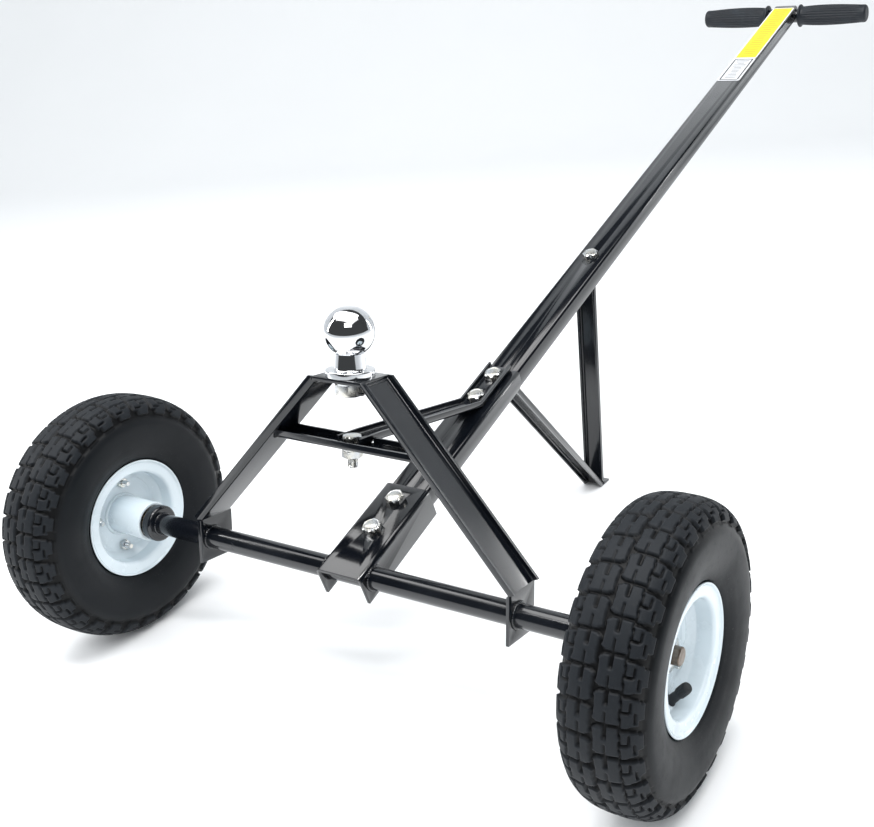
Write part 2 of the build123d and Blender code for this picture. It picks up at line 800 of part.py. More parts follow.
def hitch_ball():
    """Ball, flared neck, round flange and shank, drawn from the top plate's face up."""
    radius = ball_size / 2
    neck = ball_neck_diameter / 2
    top_radius = math.sqrt(radius ** 2 - ball_flat ** 2)
    neck_z = ball_rise - math.sqrt(radius ** 2 - neck ** 2)
    grip_length = top_plate_thickness + lock_washer_thickness + ball_nut_height + shank_past_nut
    shank = shank_diameter / 2
    edges = [
        Polyline((0, ball_rise + ball_flat), (top_radius, ball_rise + ball_flat)),
        ThreePointArc((top_radius, ball_rise + ball_flat), (radius, ball_rise), (neck, neck_z)),
        Polyline((neck, neck_z), (ball_neck_flare / 2, ball_flange_height),
                 (ball_flange_diameter / 2 - ball_flange_edge, ball_flange_height),
                 (ball_flange_diameter / 2, ball_flange_height - ball_flange_edge),
                 (ball_flange_diameter / 2, 0), (shank, 0), (shank, bolt_edge - grip_length),
                 (shank - bolt_edge, -grip_length), (0, -grip_length), (0, ball_rise + ball_flat)),
    ]
    solid = revolve(Plane.XZ * make_face(edges), axis=Axis.Z)
    return place_on_mast(Pos(0, 0, top_plate_up) * solid)


def ball_lock_washer():
    low = top_plate_under - lock_washer_thickness
    washer = ring(Vector(0, 0, low), UP, lock_washer_diameter / 2,
                  shank_diameter / 2 + slip_fit, lock_washer_thickness)
    split_cut = Pos(lock_washer_diameter / 2, 0, low + lock_washer_thickness / 2) * Rot(0, 30, 0) * Box(
        lock_washer_diameter, lock_washer_split, 2 * lock_washer_thickness)
    return place_on_mast(washer - split_cut)


def ball_nut():
    top = Vector(0, 0, top_plate_under - lock_washer_thickness)
    nut = hex_prism(top, -UP, ball_nut_flats, ball_nut_height)
    bore = rod(top, -UP, shank_diameter / 2 + slip_fit, ball_nut_height)
    return place_on_mast(nut - bore)


parts["hitch_ball"] = hitch_ball()
parts["ball_lock_washer"] = ball_lock_washer()
parts["ball_nut"] = ball_nut()


# ---- brace strap ----

def brace_strap():
    """A channel with its flanges up, from the crossbar's web to the top of the beams."""
    points = [on_mast(0, mast_back + strap_front, strap_up),
              on_mast(0, mast_back + strap_first_bend, strap_up),
              on_beam(0, strap_second_bend, lower_beam_top),
              on_beam(0, lower_beam_end, lower_beam_top)]
    section = channel(strap_width, strap_depth, strap_wall)
    shape = bent([section] * 3, points, -RIGHT)
    return drilled(shape, joint_stacks + [crossbar_stack])


parts["brace_strap"] = brace_strap()


# ---- stand ----

foot_bend = Vector(0, axle_y + foot_y, stand_wall)
front_bend = on_beam(0, front_leg_bend, handle_beam_under)
ground = Plane(origin=(0, 0, 0), z_dir=UP)


def stand_front_leg():
    """A tab under the beams, a channel down to the ground and a flat foot plate."""
    points = [on_beam(0, front_tab_start, handle_beam_under), front_bend, foot_bend,
              foot_bend + BACK * foot_length]
    tab = strip(stand_width, stand_wall)
    shape = bent([tab, channel(stand_width, stand_depth, stand_wall), tab], points, RIGHT)
    shape = split(shape, bisect_by=ground, keep=Keep.TOP)
    return drilled(shape, joint_stacks)


def stand_rear_leg():
    """A channel that stands on the foot plate and turns under the handle beam."""
    foot = Vector(0, axle_y + rear_leg_y, stand_wall)
    rise = (rear_leg_y + handle_beam_under * beam_sin) * beam_sin / beam_cos
    top = Vector(0, foot.Y, axle_height + rise + handle_beam_under * beam_cos)
    leg_section = Pos(0, stand_wall) * Rot(0, 0, 180) * channel(stand_width, stand_depth, stand_wall)
    shape = bent([leg_section, strip(stand_width, stand_wall)],
                 [foot, top, on_beam(0, rear_tab_end, handle_beam_under)], RIGHT)
    under_beam = Plane(origin=top, x_dir=RIGHT, z_dir=beam_up)
    shape = split(shape, bisect_by=under_beam, keep=Keep.BOTTOM)
    slope = (foot_bend - front_bend).cross(RIGHT)
    behind_front_leg = Plane(origin=foot_bend - slope.normalized() * weld_gap, x_dir=RIGHT, z_dir=slope)
    shape = split(shape, bisect_by=behind_front_leg, keep=Keep.BOTTOM)
    return drilled(shape, [stand_stack])


parts["stand_front_leg"] = stand_front_leg()
parts["stand_rear_leg"] = stand_rear_leg()


os.makedirs("parts", exist_ok=True)
for name, shape in parts.items():
    export_step(shape, "parts/" + name + ".step")
print(len(parts), "nodes; the axle stands at y", round(axle_y, 3), "and z", axle_height)
print("cotter pin at x", round(cotter_x, 3), "and spindle end at x", round(spindle_end_x, 3))
print("foot from y", round(axle_y + foot_y, 3), "ball centre",
      on_mast(0, mast_back, top_plate_up + ball_rise))
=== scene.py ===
import json
import math
import bpy
import bmesh
import numpy as np
from mathutils import Matrix, Vector


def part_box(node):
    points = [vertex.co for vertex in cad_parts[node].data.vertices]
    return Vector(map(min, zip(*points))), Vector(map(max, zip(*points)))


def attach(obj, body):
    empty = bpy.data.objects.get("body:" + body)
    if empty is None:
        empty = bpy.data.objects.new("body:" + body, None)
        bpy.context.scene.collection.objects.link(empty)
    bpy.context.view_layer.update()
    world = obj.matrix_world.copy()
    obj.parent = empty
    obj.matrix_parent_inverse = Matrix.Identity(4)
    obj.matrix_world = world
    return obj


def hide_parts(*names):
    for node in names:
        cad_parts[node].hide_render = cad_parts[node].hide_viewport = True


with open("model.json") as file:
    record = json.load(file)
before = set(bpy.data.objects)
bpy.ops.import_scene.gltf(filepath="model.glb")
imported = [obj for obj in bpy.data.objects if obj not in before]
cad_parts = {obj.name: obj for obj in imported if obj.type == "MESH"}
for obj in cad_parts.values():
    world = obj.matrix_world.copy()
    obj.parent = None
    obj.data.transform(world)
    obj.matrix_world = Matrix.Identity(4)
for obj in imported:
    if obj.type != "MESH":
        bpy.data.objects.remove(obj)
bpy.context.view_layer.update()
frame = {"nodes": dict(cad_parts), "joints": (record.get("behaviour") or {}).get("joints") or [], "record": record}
print("frame loaded,", len(frame["nodes"]), "nodes")

# the dolly's own directions, in metres: along the axle, along the beam and up the mast
stance = {"beamAngle": 18.0, "mastLean": 8.3, "mastBack": 0.005}
axleCentre = Vector((0, frame["joints"][0]["pos_m"][1], frame["joints"][0]["pos_m"][2]))
halfTrack = abs(frame["joints"][0]["pos_m"][0])
bothSides = (("left", -1), ("right", 1))
beamTurn = Matrix.Rotation(math.radians(stance["beamAngle"]), 4, "X")
mastTurn = Matrix.Rotation(-math.radians(stance["mastLean"]), 4, "X")
beamPlace = Matrix.Translation(axleCentre) @ beamTurn
mastPlace = Matrix.Translation(axleCentre) @ mastTurn @ Matrix.Translation((0, stance["mastBack"], 0))


def arrayOf(*columns):
    return np.stack(np.broadcast_arrays(*columns), axis=-1).astype(float)


def moved(points, place):
    # every point times the 4 x 4 matrix
    turn = np.array(place.to_3x3())
    return points @ turn.T + np.array(place.translation)


def gridMesh(name, points, loopAround=True, loopAlong=False, capEnds=False):
    # points[i, j] is a grid of places; each cell between neighbours becomes one four-sided face.
    # Either direction can close on itself, and open ends can be capped with one face each.
    rows, columns = points.shape[:2]
    i = np.arange(rows if loopAlong else rows - 1)
    j = np.arange(columns if loopAround else columns - 1)
    i, j = [a.ravel() for a in np.meshgrid(i, j, indexing="ij")]
    nextI, nextJ = (i + 1) % rows, (j + 1) % columns
    quads = arrayOf(i * columns + j, i * columns + nextJ, nextI * columns + nextJ,
                    nextI * columns + j).astype(np.int32)
    caps = [range(columns - 1, -1, -1), range((rows - 1) * columns, rows * columns)] if capEnds else []
    corners = np.concatenate([quads.ravel()] + [np.array(c, np.int32) for c in caps])
    sizes = np.array([4] * len(quads) + [len(c) for c in caps], np.int32)
    mesh = bpy.data.meshes.new(name)
    mesh.vertices.add(rows * columns)
    mesh.vertices.foreach_set("co", points.reshape(-1).astype(np.float32))
    mesh.loops.add(len(corners))
    mesh.loops.foreach_set("vertex_index", corners)
    mesh.polygons.add(len(sizes))
    mesh.polygons.foreach_set("loop_start", np.concatenate([[0], np.cumsum(sizes)[:-1]]).astype(np.int32))
    mesh.polygons.foreach_set("use_smooth", np.ones(len(sizes), bool))
    mesh.update()
    mesh.validate()
    return mesh


def solidMesh(name, points, closed=False):
    # a shell of rings with its faces turned outwards, closed along the grid as well as round it,
    # or else with one face at each end
    mesh = gridMesh(name, points, loopAlong=closed, capEnds=not closed)
    work = bmesh.new()
    work.from_mesh(mesh)
    bmesh.ops.recalc_face_normals(work, faces=work.faces)
    work.to_mesh(mesh)
    work.free()
    mesh.update()
    return mesh


def joinMeshes(name, meshes):
    # puts several meshes into one
    work = bmesh.new()
    for mesh in meshes:
        work.from_mesh(mesh)
    whole = bpy.data.meshes.new(name)
    work.to_mesh(whole)
    work.free()
    for mesh in meshes:
        bpy.data.meshes.remove(mesh)
    return whole


def addPiece(name, mesh, body, finish, replaced=(), sharpAngle=None):
    piece = bpy.data.objects.new(name, mesh)
    bpy.context.scene.collection.objects.link(piece)
    mesh.materials.clear()
    mesh.materials.append(finish)
    if sharpAngle is not None:
        mesh.set_sharp_from_angle(angle=math.radians(sharpAngle))
    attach(piece, body)
    if replaced:
        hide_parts(*replaced)
    return piece


def onAxle(x):
    return (x, axleCentre.y, axleCentre.z)


def aboutX(centre, x, radius, angle):
    # x along a line through the centre, and the radius times cos and sin of the angle off it
    return arrayOf(centre[0] + x, centre[1] + radius * np.cos(angle), centre[2] + radius * np.sin(angle))


def smoothStep(low, high, value):
    # 0 below low, 1 above high, and the cubic 3t² - 2t³ between them
    t = np.clip((value - low) / (high - low), 0, 1)
    return t * t * (3 - 2 * t)


def rampedSpan(rise, fall, value):
    # 0, then up over the two values of rise, and down to 0 again over the two of fall
    return smoothStep(*rise, value) * (1 - smoothStep(*fall, value))


def lengthsAlong(path):
    return np.concatenate([[0], np.cumsum(np.linalg.norm(np.diff(path, axis=0), axis=1))])


def pointsAt(wanted, path):
    # the path's points at the wanted lengths along it
    length = lengthsAlong(path)
    return arrayOf(*[np.interp(wanted, length, column) for column in path.T])


def curveThrough(controls, spacing, steps=24):
    # Catmull-Rom: between two points the curve is the cubic whose slopes are half the chord of
    # their neighbours. Returns its points at the lengths that spacing gives, and those lengths.
    p = np.vstack([2 * controls[0] - controls[1], controls, 2 * controls[-1] - controls[-2]])
    t = np.linspace(0, 1, steps, endpoint=False)[:, None]
    a, b, c, d = p[:-3, None], p[1:-2, None], p[2:-1, None], p[3:, None]
    curve = 0.5 * (2 * b + (c - a) * t + (2 * a - 5 * b + 4 * c - d) * t ** 2
                   + (3 * b - a - 3 * c + d) * t ** 3)
    curve = np.vstack([curve.reshape(-1, p.shape[1]), p[-2]])
    wanted = spacing(lengthsAlong(curve)[-1])
    return pointsAt(wanted, curve), wanted


def sweptTube(name, path, radius, sides, guide):
    # a round section carried along a path: each ring is the path's point plus radius times
    # cos and sin of the angle along two directions square to the path, the first also to guide
    ahead = np.gradient(path, axis=0)
    ahead /= np.linalg.norm(ahead, axis=1, keepdims=True)
    side = np.cross(ahead, np.array(guide))
    side /= np.linalg.norm(side, axis=1, keepdims=True)
    other = np.cross(ahead, side)
    angle = np.linspace(0, 2 * math.pi, sides, endpoint=False)[None, :, None]
    arm = np.cos(angle) * side[:, None] + np.sin(angle) * other[:, None]
    return solidMesh(name, path[:, None] + radius[:, None, None] * arm)


def turnedShape(outline, around, ripple=None):
    # each (height, radius) of the outline swept round +Z, with the radius times one plus the
    # ripple's value at that angle and height
    outline = np.array(outline, float)
    angle = np.linspace(0, 2 * math.pi, around, endpoint=False)
    radius = outline[:, 1:] + 0 * angle[None]
    if ripple:
        radius = radius * (1 + ripple(angle[None], outline[:, :1]))
    return arrayOf(radius * np.cos(angle)[None], radius * np.sin(angle)[None], outline[:, :1] + 0 * radius)


def placedAlong(points, seat, direction, spin=0.0):
    # turns a shape drawn about +Z so that its +Z points against the direction
    turn = (-direction).to_track_quat("Z", "Y").to_matrix().to_4x4()
    return moved(points, Matrix.Translation(seat) @ turn @ Matrix.Rotation(spin, 4, "Z"))


def roundedPath(corners, radius, steps=7):
    # straight runs joined by parabolas: each starts and ends the radius times the tangent of
    # half the turn away from its corner, which is its middle control point
    corners = [np.array(c, float) for c in corners]
    path = [corners[0]]
    for before, corner, after in zip(corners, corners[1:], corners[2:]):
        back, ahead = before - corner, after - corner
        back, ahead = back / np.linalg.norm(back), ahead / np.linalg.norm(ahead)
        reach = radius * math.tan((math.pi - math.acos(np.clip(back @ ahead, -1, 1))) / 2)
        t = np.linspace(0, 1, steps)[:, None]
        path += list((1 - t) ** 2 * (corner + back * reach) + 2 * t * (1 - t) * corner
                     + t ** 2 * (corner + ahead * reach))
    return np.array(path + [corners[-1]])


class Wire:
    # one socket of a node tree, used in ordinary sums
    def __init__(self, tree, socket=None):
        self.tree, self.socket = tree, socket

    def node(self, kind, settings=None, inputs=None, out=0):
        made = self.tree.nodes.new("ShaderNode" + kind)
        for key, value in (settings or {}).items():
            if key == "stops":
                for stop in range(2, len(value)):
                    made.color_ramp.elements.new(stop / len(value))
                for element, (place, colour) in zip(made.color_ramp.elements, value):
                    element.position, element.color = place, colour
            else:
                setattr(made, key, value)
        for key, value in (inputs or {}).items():
            if isinstance(value, Wire):
                self.tree.links.new(value.socket, made.inputs[key])
            else:
                made.inputs[key].default_value = value
        return Wire(self.tree, made.outputs[out])

    def maths(self, operation, *values):
        return self.node("Math", {"operation": operation}, dict(enumerate(values)))

    def __add__(self, other):
        return self.maths("ADD", self, other)

    def __radd__(self, other):
        return self.maths("ADD", other, self)

    def __sub__(self, other):
        return self.maths("SUBTRACT", self, other)

    def __rsub__(self, other):
        return self.maths("SUBTRACT", other, self)

    def __mul__(self, other):
        return self.maths("MULTIPLY", self, other)

    def __rmul__(self, other):
        return self.maths("MULTIPLY", other, self)

    def __truediv__(self, other):
        return self.maths("DIVIDE", self, other)

    def __gt__(self, other):
        return self.maths("GREATER_THAN", self, other)

    def __lt__(self, other):
        return self.maths("LESS_THAN", self, other)

    def __abs__(self):
        return self.maths("ABSOLUTE", self)

    def blend(self, *colours):
        # this value's mix of two colours
        first, second = [c if isinstance(c, Wire) else (*c, 1.0) for c in colours]
        return self.node("Mix", {"data_type": "RGBA"}, {0: self, 6: first, 7: second}, out=2)

    def between(self, low, high):
        # 0 under low to 1 over high
        return self.node("MapRange", {"interpolation_type": "SMOOTHSTEP"},
                         {"Value": self, "From Min": low, "From Max": high})

    def objectPlace(self):
        return self.node("TexCoord", out=3)

    def noise(self, place, scale, detail=3.0, roughness=0.5):
        return self.node("TexNoise", {}, {"Vector": place, "Scale": scale, "Detail": detail,
                                          "Roughness": roughness})

    def cells(self, place, scale, feature="F1", out=0):
        return self.node("TexVoronoi", {"feature": feature}, {"Vector": place, "Scale": scale}, out=out)

    def bump(self, height, distance, strength=1.0):
        return self.node("Bump", {}, {"Height": height, "Distance": distance, "Strength": strength})


def makeFinish(name, fixed, varied):
    # fixed are the shader's plain values; varied makes its linked ones from a starting wire
    material = bpy.data.materials.new(name)
    material.use_nodes = True
    tree = material.node_tree
    shader = tree.nodes["Principled BSDF"]
    for key, value in fixed.items():
        shader.inputs[key].default_value = value
    for key, wire in varied(Wire(tree)).items():
        tree.links.new(wire.socket, shader.inputs[key])
    return material


# the rubbed edge colour is paler than wear alone would make it, so it is partly a painted highlight
blackCoat = {"paint": (0.0030, 0.0040, 0.0062), "haze": (0.011, 0.0135, 0.018),
    "rubbedAndHighlit": (0.125, 0.132, 0.145), "gloss": 0.13, "glossSpread": 0.12,
    "peelScale": 420.0, "peelDepth": 0.00005, "scuffScale": 38.0, "edge": 0.0011}


def blackCoatLinks(start):
    # gloss powder coat: slow haze in colour and gloss, orange peel, fine scuffs, and edges lightened wherever a
    # rounded normal turns away from the flat one, partly as rubbed-thin coat and partly as a painted highlight
    place = start.objectPlace()
    haze = start.noise(place, 9.0, 4.0).between(0.42, 0.72)
    scuffs = start.noise(place, blackCoat["scuffScale"], 9.0, 0.72).between(0.60, 0.70)
    peel = start.noise(place, blackCoat["peelScale"], 1.0)
    grit = start.cells(place, 900.0).between(0.0, 0.10)
    rounded = start.node("Bevel", {"samples": 4}, {"Radius": blackCoat["edge"]})
    flat = start.node("NewGeometry", out=1)
    turned = 1.0 - start.node("VectorMath", {"operation": "DOT_PRODUCT"}, {0: rounded, 1: flat}, out=1)
    # edges are lightened partly as rubbed-thin coat and partly as a painted highlight
    wornAndHighlit = turned.between(0.03, 0.25) * start.noise(place, 75.0, 6.0, 0.7).between(0.36, 0.60)
    body = (haze * 0.5 + scuffs * 0.3).blend(blackCoat["paint"], blackCoat["haze"])
    return {"Base Color": (wornAndHighlit * 0.75).blend(body, blackCoat["rubbedAndHighlit"]),
            "Roughness": haze * blackCoat["glossSpread"] + scuffs * 0.12 + wornAndHighlit * 0.15 + blackCoat["gloss"],
            "Normal": start.bump(peel + grit * 0.12, blackCoat["peelDepth"], 0.55)}


glossBlack = makeFinish("glossBlackCoat", {"Coat Weight": 0.35, "Coat Roughness": 0.06, "IOR": 1.5},
                        blackCoatLinks)

rubber = {"tread": (0.0088, 0.0112, 0.0145), "grooveShade": (0.0012, 0.0016, 0.0022),
    "side": (0.0044, 0.0060, 0.0080), "dust": (0.042, 0.043, 0.041)}


def tyreLinks(start):
    # block tops are paler than the grooves, whose dark colour is painted shade, the sides are smooth, and dust
    # lies in specks on the blocks and round the rim
    place = start.objectPlace()
    lift, tread, nearRim = [start.node("Attribute", {"attribute_name": name}, out=2)
                            for name in ("lift", "tread", "nearRim")]
    patches = start.noise(place, 26.0, 5.0, 0.6).between(0.40, 0.75)
    grain = start.noise(place, 1500.0, 2.0)
    scrub = start.noise(place, 160.0, 6.0, 0.7).between(0.50, 0.80)
    specks = start.noise(place, 520.0, 3.0, 0.6).between(0.60, 0.74)
    # the groove colour is painted shade in the recesses between the blocks
    body = tread.blend(rubber["side"], lift.blend(rubber["grooveShade"], rubber["tread"]))
    dusty = patches * scrub * lift * 0.40 + specks * nearRim * (patches * 0.5 + 0.25)
    return {"Base Color": dusty.blend(body, rubber["dust"]),
            "Roughness": 0.46 + lift * 0.10 + patches * 0.10 + scrub * 0.08,
            "Normal": start.bump(grain * 0.5 + scrub * lift * 0.5 + specks * nearRim * 0.6, 0.00012, 0.6)}


tyreRubber = makeFinish("tyreRubber", {"IOR": 1.5, "Specular IOR Level": 0.20}, tyreLinks)


def grainedFinish(name, fixed, look):
    # one mask of noise tints the colour and dulls the gloss, over a fine grain
    def links(start):
        place = start.objectPlace()
        mask = start.noise(place, *look["patches"])
        if "range" in look:
            mask = mask.between(*look["range"])
        base, spread = look["dullness"]
        grain, depth, strength = look["grain"]
        return {"Base Color": mask.blend(*look["colours"]), "Roughness": base + mask * spread,
                "Normal": start.bump(start.noise(place, *grain), depth, strength)}
    return makeFinish(name, fixed, links)


gripLook = {"colours": ((0.0070, 0.0100, 0.0145), (0.018, 0.024, 0.031)), "patches": (34.0, 5.0, 0.6),
    "range": (0.45, 0.75), "dullness": (0.46, 0.16), "grain": ((1300.0, 2.0), 0.00012, 0.5)}
hiddenRubber = {"colours": ((0.006, 0.007, 0.009), (0.018, 0.020, 0.023)), "patches": (60.0, 4.0),
    "dullness": (0.45, 0.25), "grain": ((900.0,), 0.0001, 0.4)}
racePolish = {"colours": ((0.62, 0.62, 0.64), (0.50, 0.49, 0.47)), "patches": (150.0, 3.0),
    "dullness": (0.16, 0.16), "grain": ((150.0, 3.0), 0.00002, 0.3)}
brass = {"colours": ((0.72, 0.54, 0.27), (0.42, 0.30, 0.14)), "patches": (140.0, 4.0),
    "range": (0.4, 0.7), "dullness": (0.26, 0.2), "grain": ((700.0,), 0.00002, 0.3)}
gripRubber = grainedFinish("gripRubber", {"IOR": 1.5, "Specular IOR Level": 0.35}, gripLook)
tubeRubber = grainedFinish("tubeRubber", {}, hiddenRubber)
capPlastic = grainedFinish("capPlastic", {"IOR": 1.48}, hiddenRubber)
groundSteel = grainedFinish("groundSteel", {"Metallic": 1.0}, racePolish)
cageBrass = grainedFinish("cageBrass", {"Metallic": 1.0}, brass)


def enamelLinks(start):
    # white enamel with soft smudges, a few specks and slight orange peel
    place = start.objectPlace()
    smudge = start.noise(place, 22.0, 6.0, 0.62).between(0.50, 0.82)
    specks = 1.0 - start.cells(place, 210.0).between(0.05, 0.13)
    rare = start.noise(place, 70.0, 2.0).between(0.60, 0.70)
    marks = smudge * 0.30 + specks * rare * 0.7
    return {"Base Color": marks.blend((0.66, 0.74, 0.785), (0.36, 0.39, 0.40)),
            "Roughness": 0.24 + smudge * 0.22,
            "Normal": start.bump(start.noise(place, 330.0, 1.0), 0.00008, 0.5)}


whiteEnamel = makeFinish("whiteEnamel", {"Coat Weight": 0.3, "Coat Roughness": 0.1}, enamelLinks)


def chromeLinks(start):
    # bright plate with faint smears and hair scratches
    place = start.objectPlace()
    smear = start.noise(place, 55.0, 5.0, 0.6).between(0.42, 0.75)
    hair = start.node("TexNoise", {}, {"Vector": start.node("Mapping", {}, {
        "Vector": place, "Scale": (9.0, 9.0, 1400.0)}), "Scale": 1.0, "Detail": 2.0})
    return {"Base Color": smear.blend((0.83, 0.84, 0.86), (0.70, 0.71, 0.73)),
            "Roughness": 0.035 + smear * 0.06,
            "Normal": start.bump(hair, 0.00002, 0.12)}


brightChrome = makeFinish("brightChrome", {"Metallic": 1.0}, chromeLinks)


def zincLinks(start):
    # spangled bright zinc with a straw and blue drift and dull patches
    place = start.objectPlace()
    drift = start.noise(place, 120.0, 3.0).between(0.35, 0.65)
    dull = start.noise(place, 260.0, 6.0, 0.65).between(0.50, 0.75)
    flakes = start.cells(place, 650.0, out=1)
    tone = drift.blend((0.62, 0.64, 0.66), (0.70, 0.68, 0.62))
    return {"Base Color": (dull * 0.45).blend(tone, (0.34, 0.34, 0.35)),
            "Roughness": 0.24 + dull * 0.24,
            "Normal": start.bump(start.node("SeparateColor", {}, {0: flakes}), 0.00003, 0.35)}


zincPlate = makeFinish("zincPlate", {"Metallic": 1.0}, zincLinks)


def steelLinks(start):
    # turned steel: fine rings along the axle's line under a brown oily film
    place = start.objectPlace()
    film = start.noise(place, 90.0, 5.0, 0.65).between(0.38, 0.70)
    rings = start.node("TexWave", {"wave_type": "BANDS", "bands_direction": "X"},
                       {"Vector": place, "Scale": 520.0, "Distortion": 1.5})
    return {"Base Color": film.blend((0.21, 0.175, 0.145), (0.095, 0.058, 0.036)),
            "Roughness": 0.30 + film * 0.22,
            "Metallic": 1.0 - film * 0.25,
            "Normal": start.bump(rings, 0.00003, 0.4)}


turnedSteel = makeFinish("turnedSteel", {}, steelLinks)


def beamCoordinates(start, centre):
    # object coordinates turned level with the beam, with the label's centre as zero
    turned = beamTurn.to_3x3().transposed() @ centre
    place = start.node("Mapping", {}, {"Vector": start.objectPlace(), "Location": -turned,
                                       "Rotation": (-math.radians(stance["beamAngle"]), 0, 0)})
    axes = start.node("SeparateXYZ", {}, {0: place})
    return axes, Wire(start.tree, axes.socket.node.outputs[1])


def middleOf(node):
    low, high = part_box(node)
    return (low + high) / 2


def halfOf(node):
    low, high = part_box(node)
    return (high - low) / 2


def bars(start, across, along, pitch, share, halfWidth):
    # short printed bars of uneven length, in place of lettering
    line = start.maths("FRACT", along / pitch)
    row = start.maths("FLOOR", along / pitch)
    uneven = start.node("TexWhiteNoise", {"noise_dimensions": "1D"}, {1: row}, out=0)
    within = abs(across) < (0.45 + uneven * 0.5) * halfWidth
    return (line < share) * within


def labelWires(start, node):
    # places across and along the beam from the label's centre, half its length, and its fading
    across, along = beamCoordinates(start, middleOf(node))
    half = halfOf(node).y / math.cos(math.radians(stance["beamAngle"]))
    fade = start.noise(start.objectPlace(), 70.0, 5.0, 0.6).between(0.4, 0.75)
    return across, along, half, fade


def filmLinks(start, fade, colour):
    return {"Base Color": colour, "Roughness": 0.30 + fade * 0.18,
            "Normal": start.bump(start.noise(start.objectPlace(), 260.0), 0.00004, 0.4)}


yellowLabel = {"halfWidth": 0.0184, "margin": 0.0021, "barPitch": 0.0088, "barShare": 0.42,
    "barReach": 0.72, "printed": 0.55, "faded": 0.10, "sheet": (0.80, 0.57, 0.006),
    "print": (0.66, 0.27, 0.01), "border": (0.74, 0.74, 0.70),
    "fade": (0.60, 0.52, 0.22)}


def yellowLabelLinks(start):
    across, along, half, fade = labelWires(start, "warning_label")
    rim = abs(across) > yellowLabel["halfWidth"] - yellowLabel["margin"]
    ends = abs(along) > half - yellowLabel["margin"]
    printed = bars(start, across, along, yellowLabel["barPitch"], yellowLabel["barShare"],
                   yellowLabel["halfWidth"] * yellowLabel["barReach"])
    sheet = (printed * yellowLabel["printed"]).blend(yellowLabel["sheet"], yellowLabel["print"])
    edged = start.maths("MAXIMUM", rim, ends).blend(sheet, yellowLabel["border"])
    return filmLinks(start, fade, (fade * yellowLabel["faded"]).blend(edged, yellowLabel["fade"]))


yellowFilm = makeFinish("yellowFilm", {"Specular IOR Level": 0.3}, yellowLabelLinks)

whiteLabel = {"halfWidth": 0.0184, "lineAt": 0.0142, "lineWidth": 0.0011, "barPitch": 0.0052,
    "barShare": 0.38, "barReach": 0.82, "barMargin": 0.004, "printed": 0.80, "faded": 0.2,
    "sheet": (0.64, 0.65, 0.67), "fade": (0.5, 0.5, 0.48), "ink": (0.015, 0.016, 0.018)}


def whiteLabelLinks(start):
    across, along, half, fade = labelWires(start, "info_label")
    lineX, width = whiteLabel["lineAt"], whiteLabel["lineWidth"]
    lineY = half - (whiteLabel["halfWidth"] - lineX)
    inX, inY = abs(across), abs(along)
    sideLine = (abs(inX - lineX) < width) * (inY < lineY)
    endLine = (abs(inY - lineY) < width) * (inX < lineX)
    text = bars(start, across, along, whiteLabel["barPitch"], whiteLabel["barShare"],
                lineX * whiteLabel["barReach"]) * (inY < lineY - whiteLabel["barMargin"])
    lines = start.maths("MAXIMUM", sideLine, endLine)
    ink = start.maths("MAXIMUM", lines, text * whiteLabel["printed"])
    sheet = (fade * whiteLabel["faded"]).blend(whiteLabel["sheet"], whiteLabel["fade"])
    return filmLinks(start, fade, ink.blend(sheet, whiteLabel["ink"]))


whiteFilm = makeFinish("whiteFilm", {"Specular IOR Level": 0.3}, whiteLabelLinks)

finishOfSlot = {
    "black_coat": glossBlack, "white_coat": whiteEnamel, "tyre_rubber": tyreRubber,
    "tube_rubber": tubeRubber, "grip_rubber": gripRubber, "black_cap": capPlastic,
    "chrome_ball": brightChrome, "zinc": zincPlate, "bare_steel": turnedSteel,
    "bearing_steel": groundSteel, "cage_brass": cageBrass, "yellow_label": yellowFilm,
    "white_label": whiteFilm,
}
slotOfNode = {part["node"]: part["material_slot"] for part in frame["record"]["subparts"]}
for nodeName, node in frame["nodes"].items():
    node.data.materials.clear()
    node.data.materials.append(finishOfSlot[slotOfNode[nodeName]])
print("finishes made")


tyre = {
    "pitches": 31, "stepsPerPitch": 24, "blockHeight": 0.0031, "ramp": 0.0006, "rampBelow": 0.0001,
    # across and radius, in millimetres
    "outline": [(0.0, 130.0), (12.0, 129.5), (22.0, 127.4), (30.0, 122.9), (34.7, 116.2), (37.2, 107.5),
    (38.0, 98.0), (37.3, 88.0), (34.9, 78.0), (31.4, 69.6), (28.9, 64.9), (26.2, 62.9)],
    "inside": [(24.6, 62.4), (24.6, 54.0), (21.7, 51.0), (17.8, 51.0), (17.8, 66.6), (27.6, 67.2),
    (32.8, 90.0), (28.0, 112.5), (14.0, 120.5)],
    "treadEdge": 0.047, "treadSteps": 44, "sideSteps": 14, "radius": 0.13, "inset": 0.0002,
    "treadFade": (0.043, 0.050), "rimFade": (0.072, 0.084),
    # place, width and share of the height of each fine line round the sidewall
    "lines": [(0.0535, 0.0008, 1.0), (0.0820, 0.0010, 1.0), (0.0865, 0.0008, 0.7)], "lineHeight": 0.0006,
    "outsideReach": 0.15, "insidePlace": 0.2, "hollowRadius": 0.095, "leftTurn": 0.11, "rightTurn": 0.05,
}
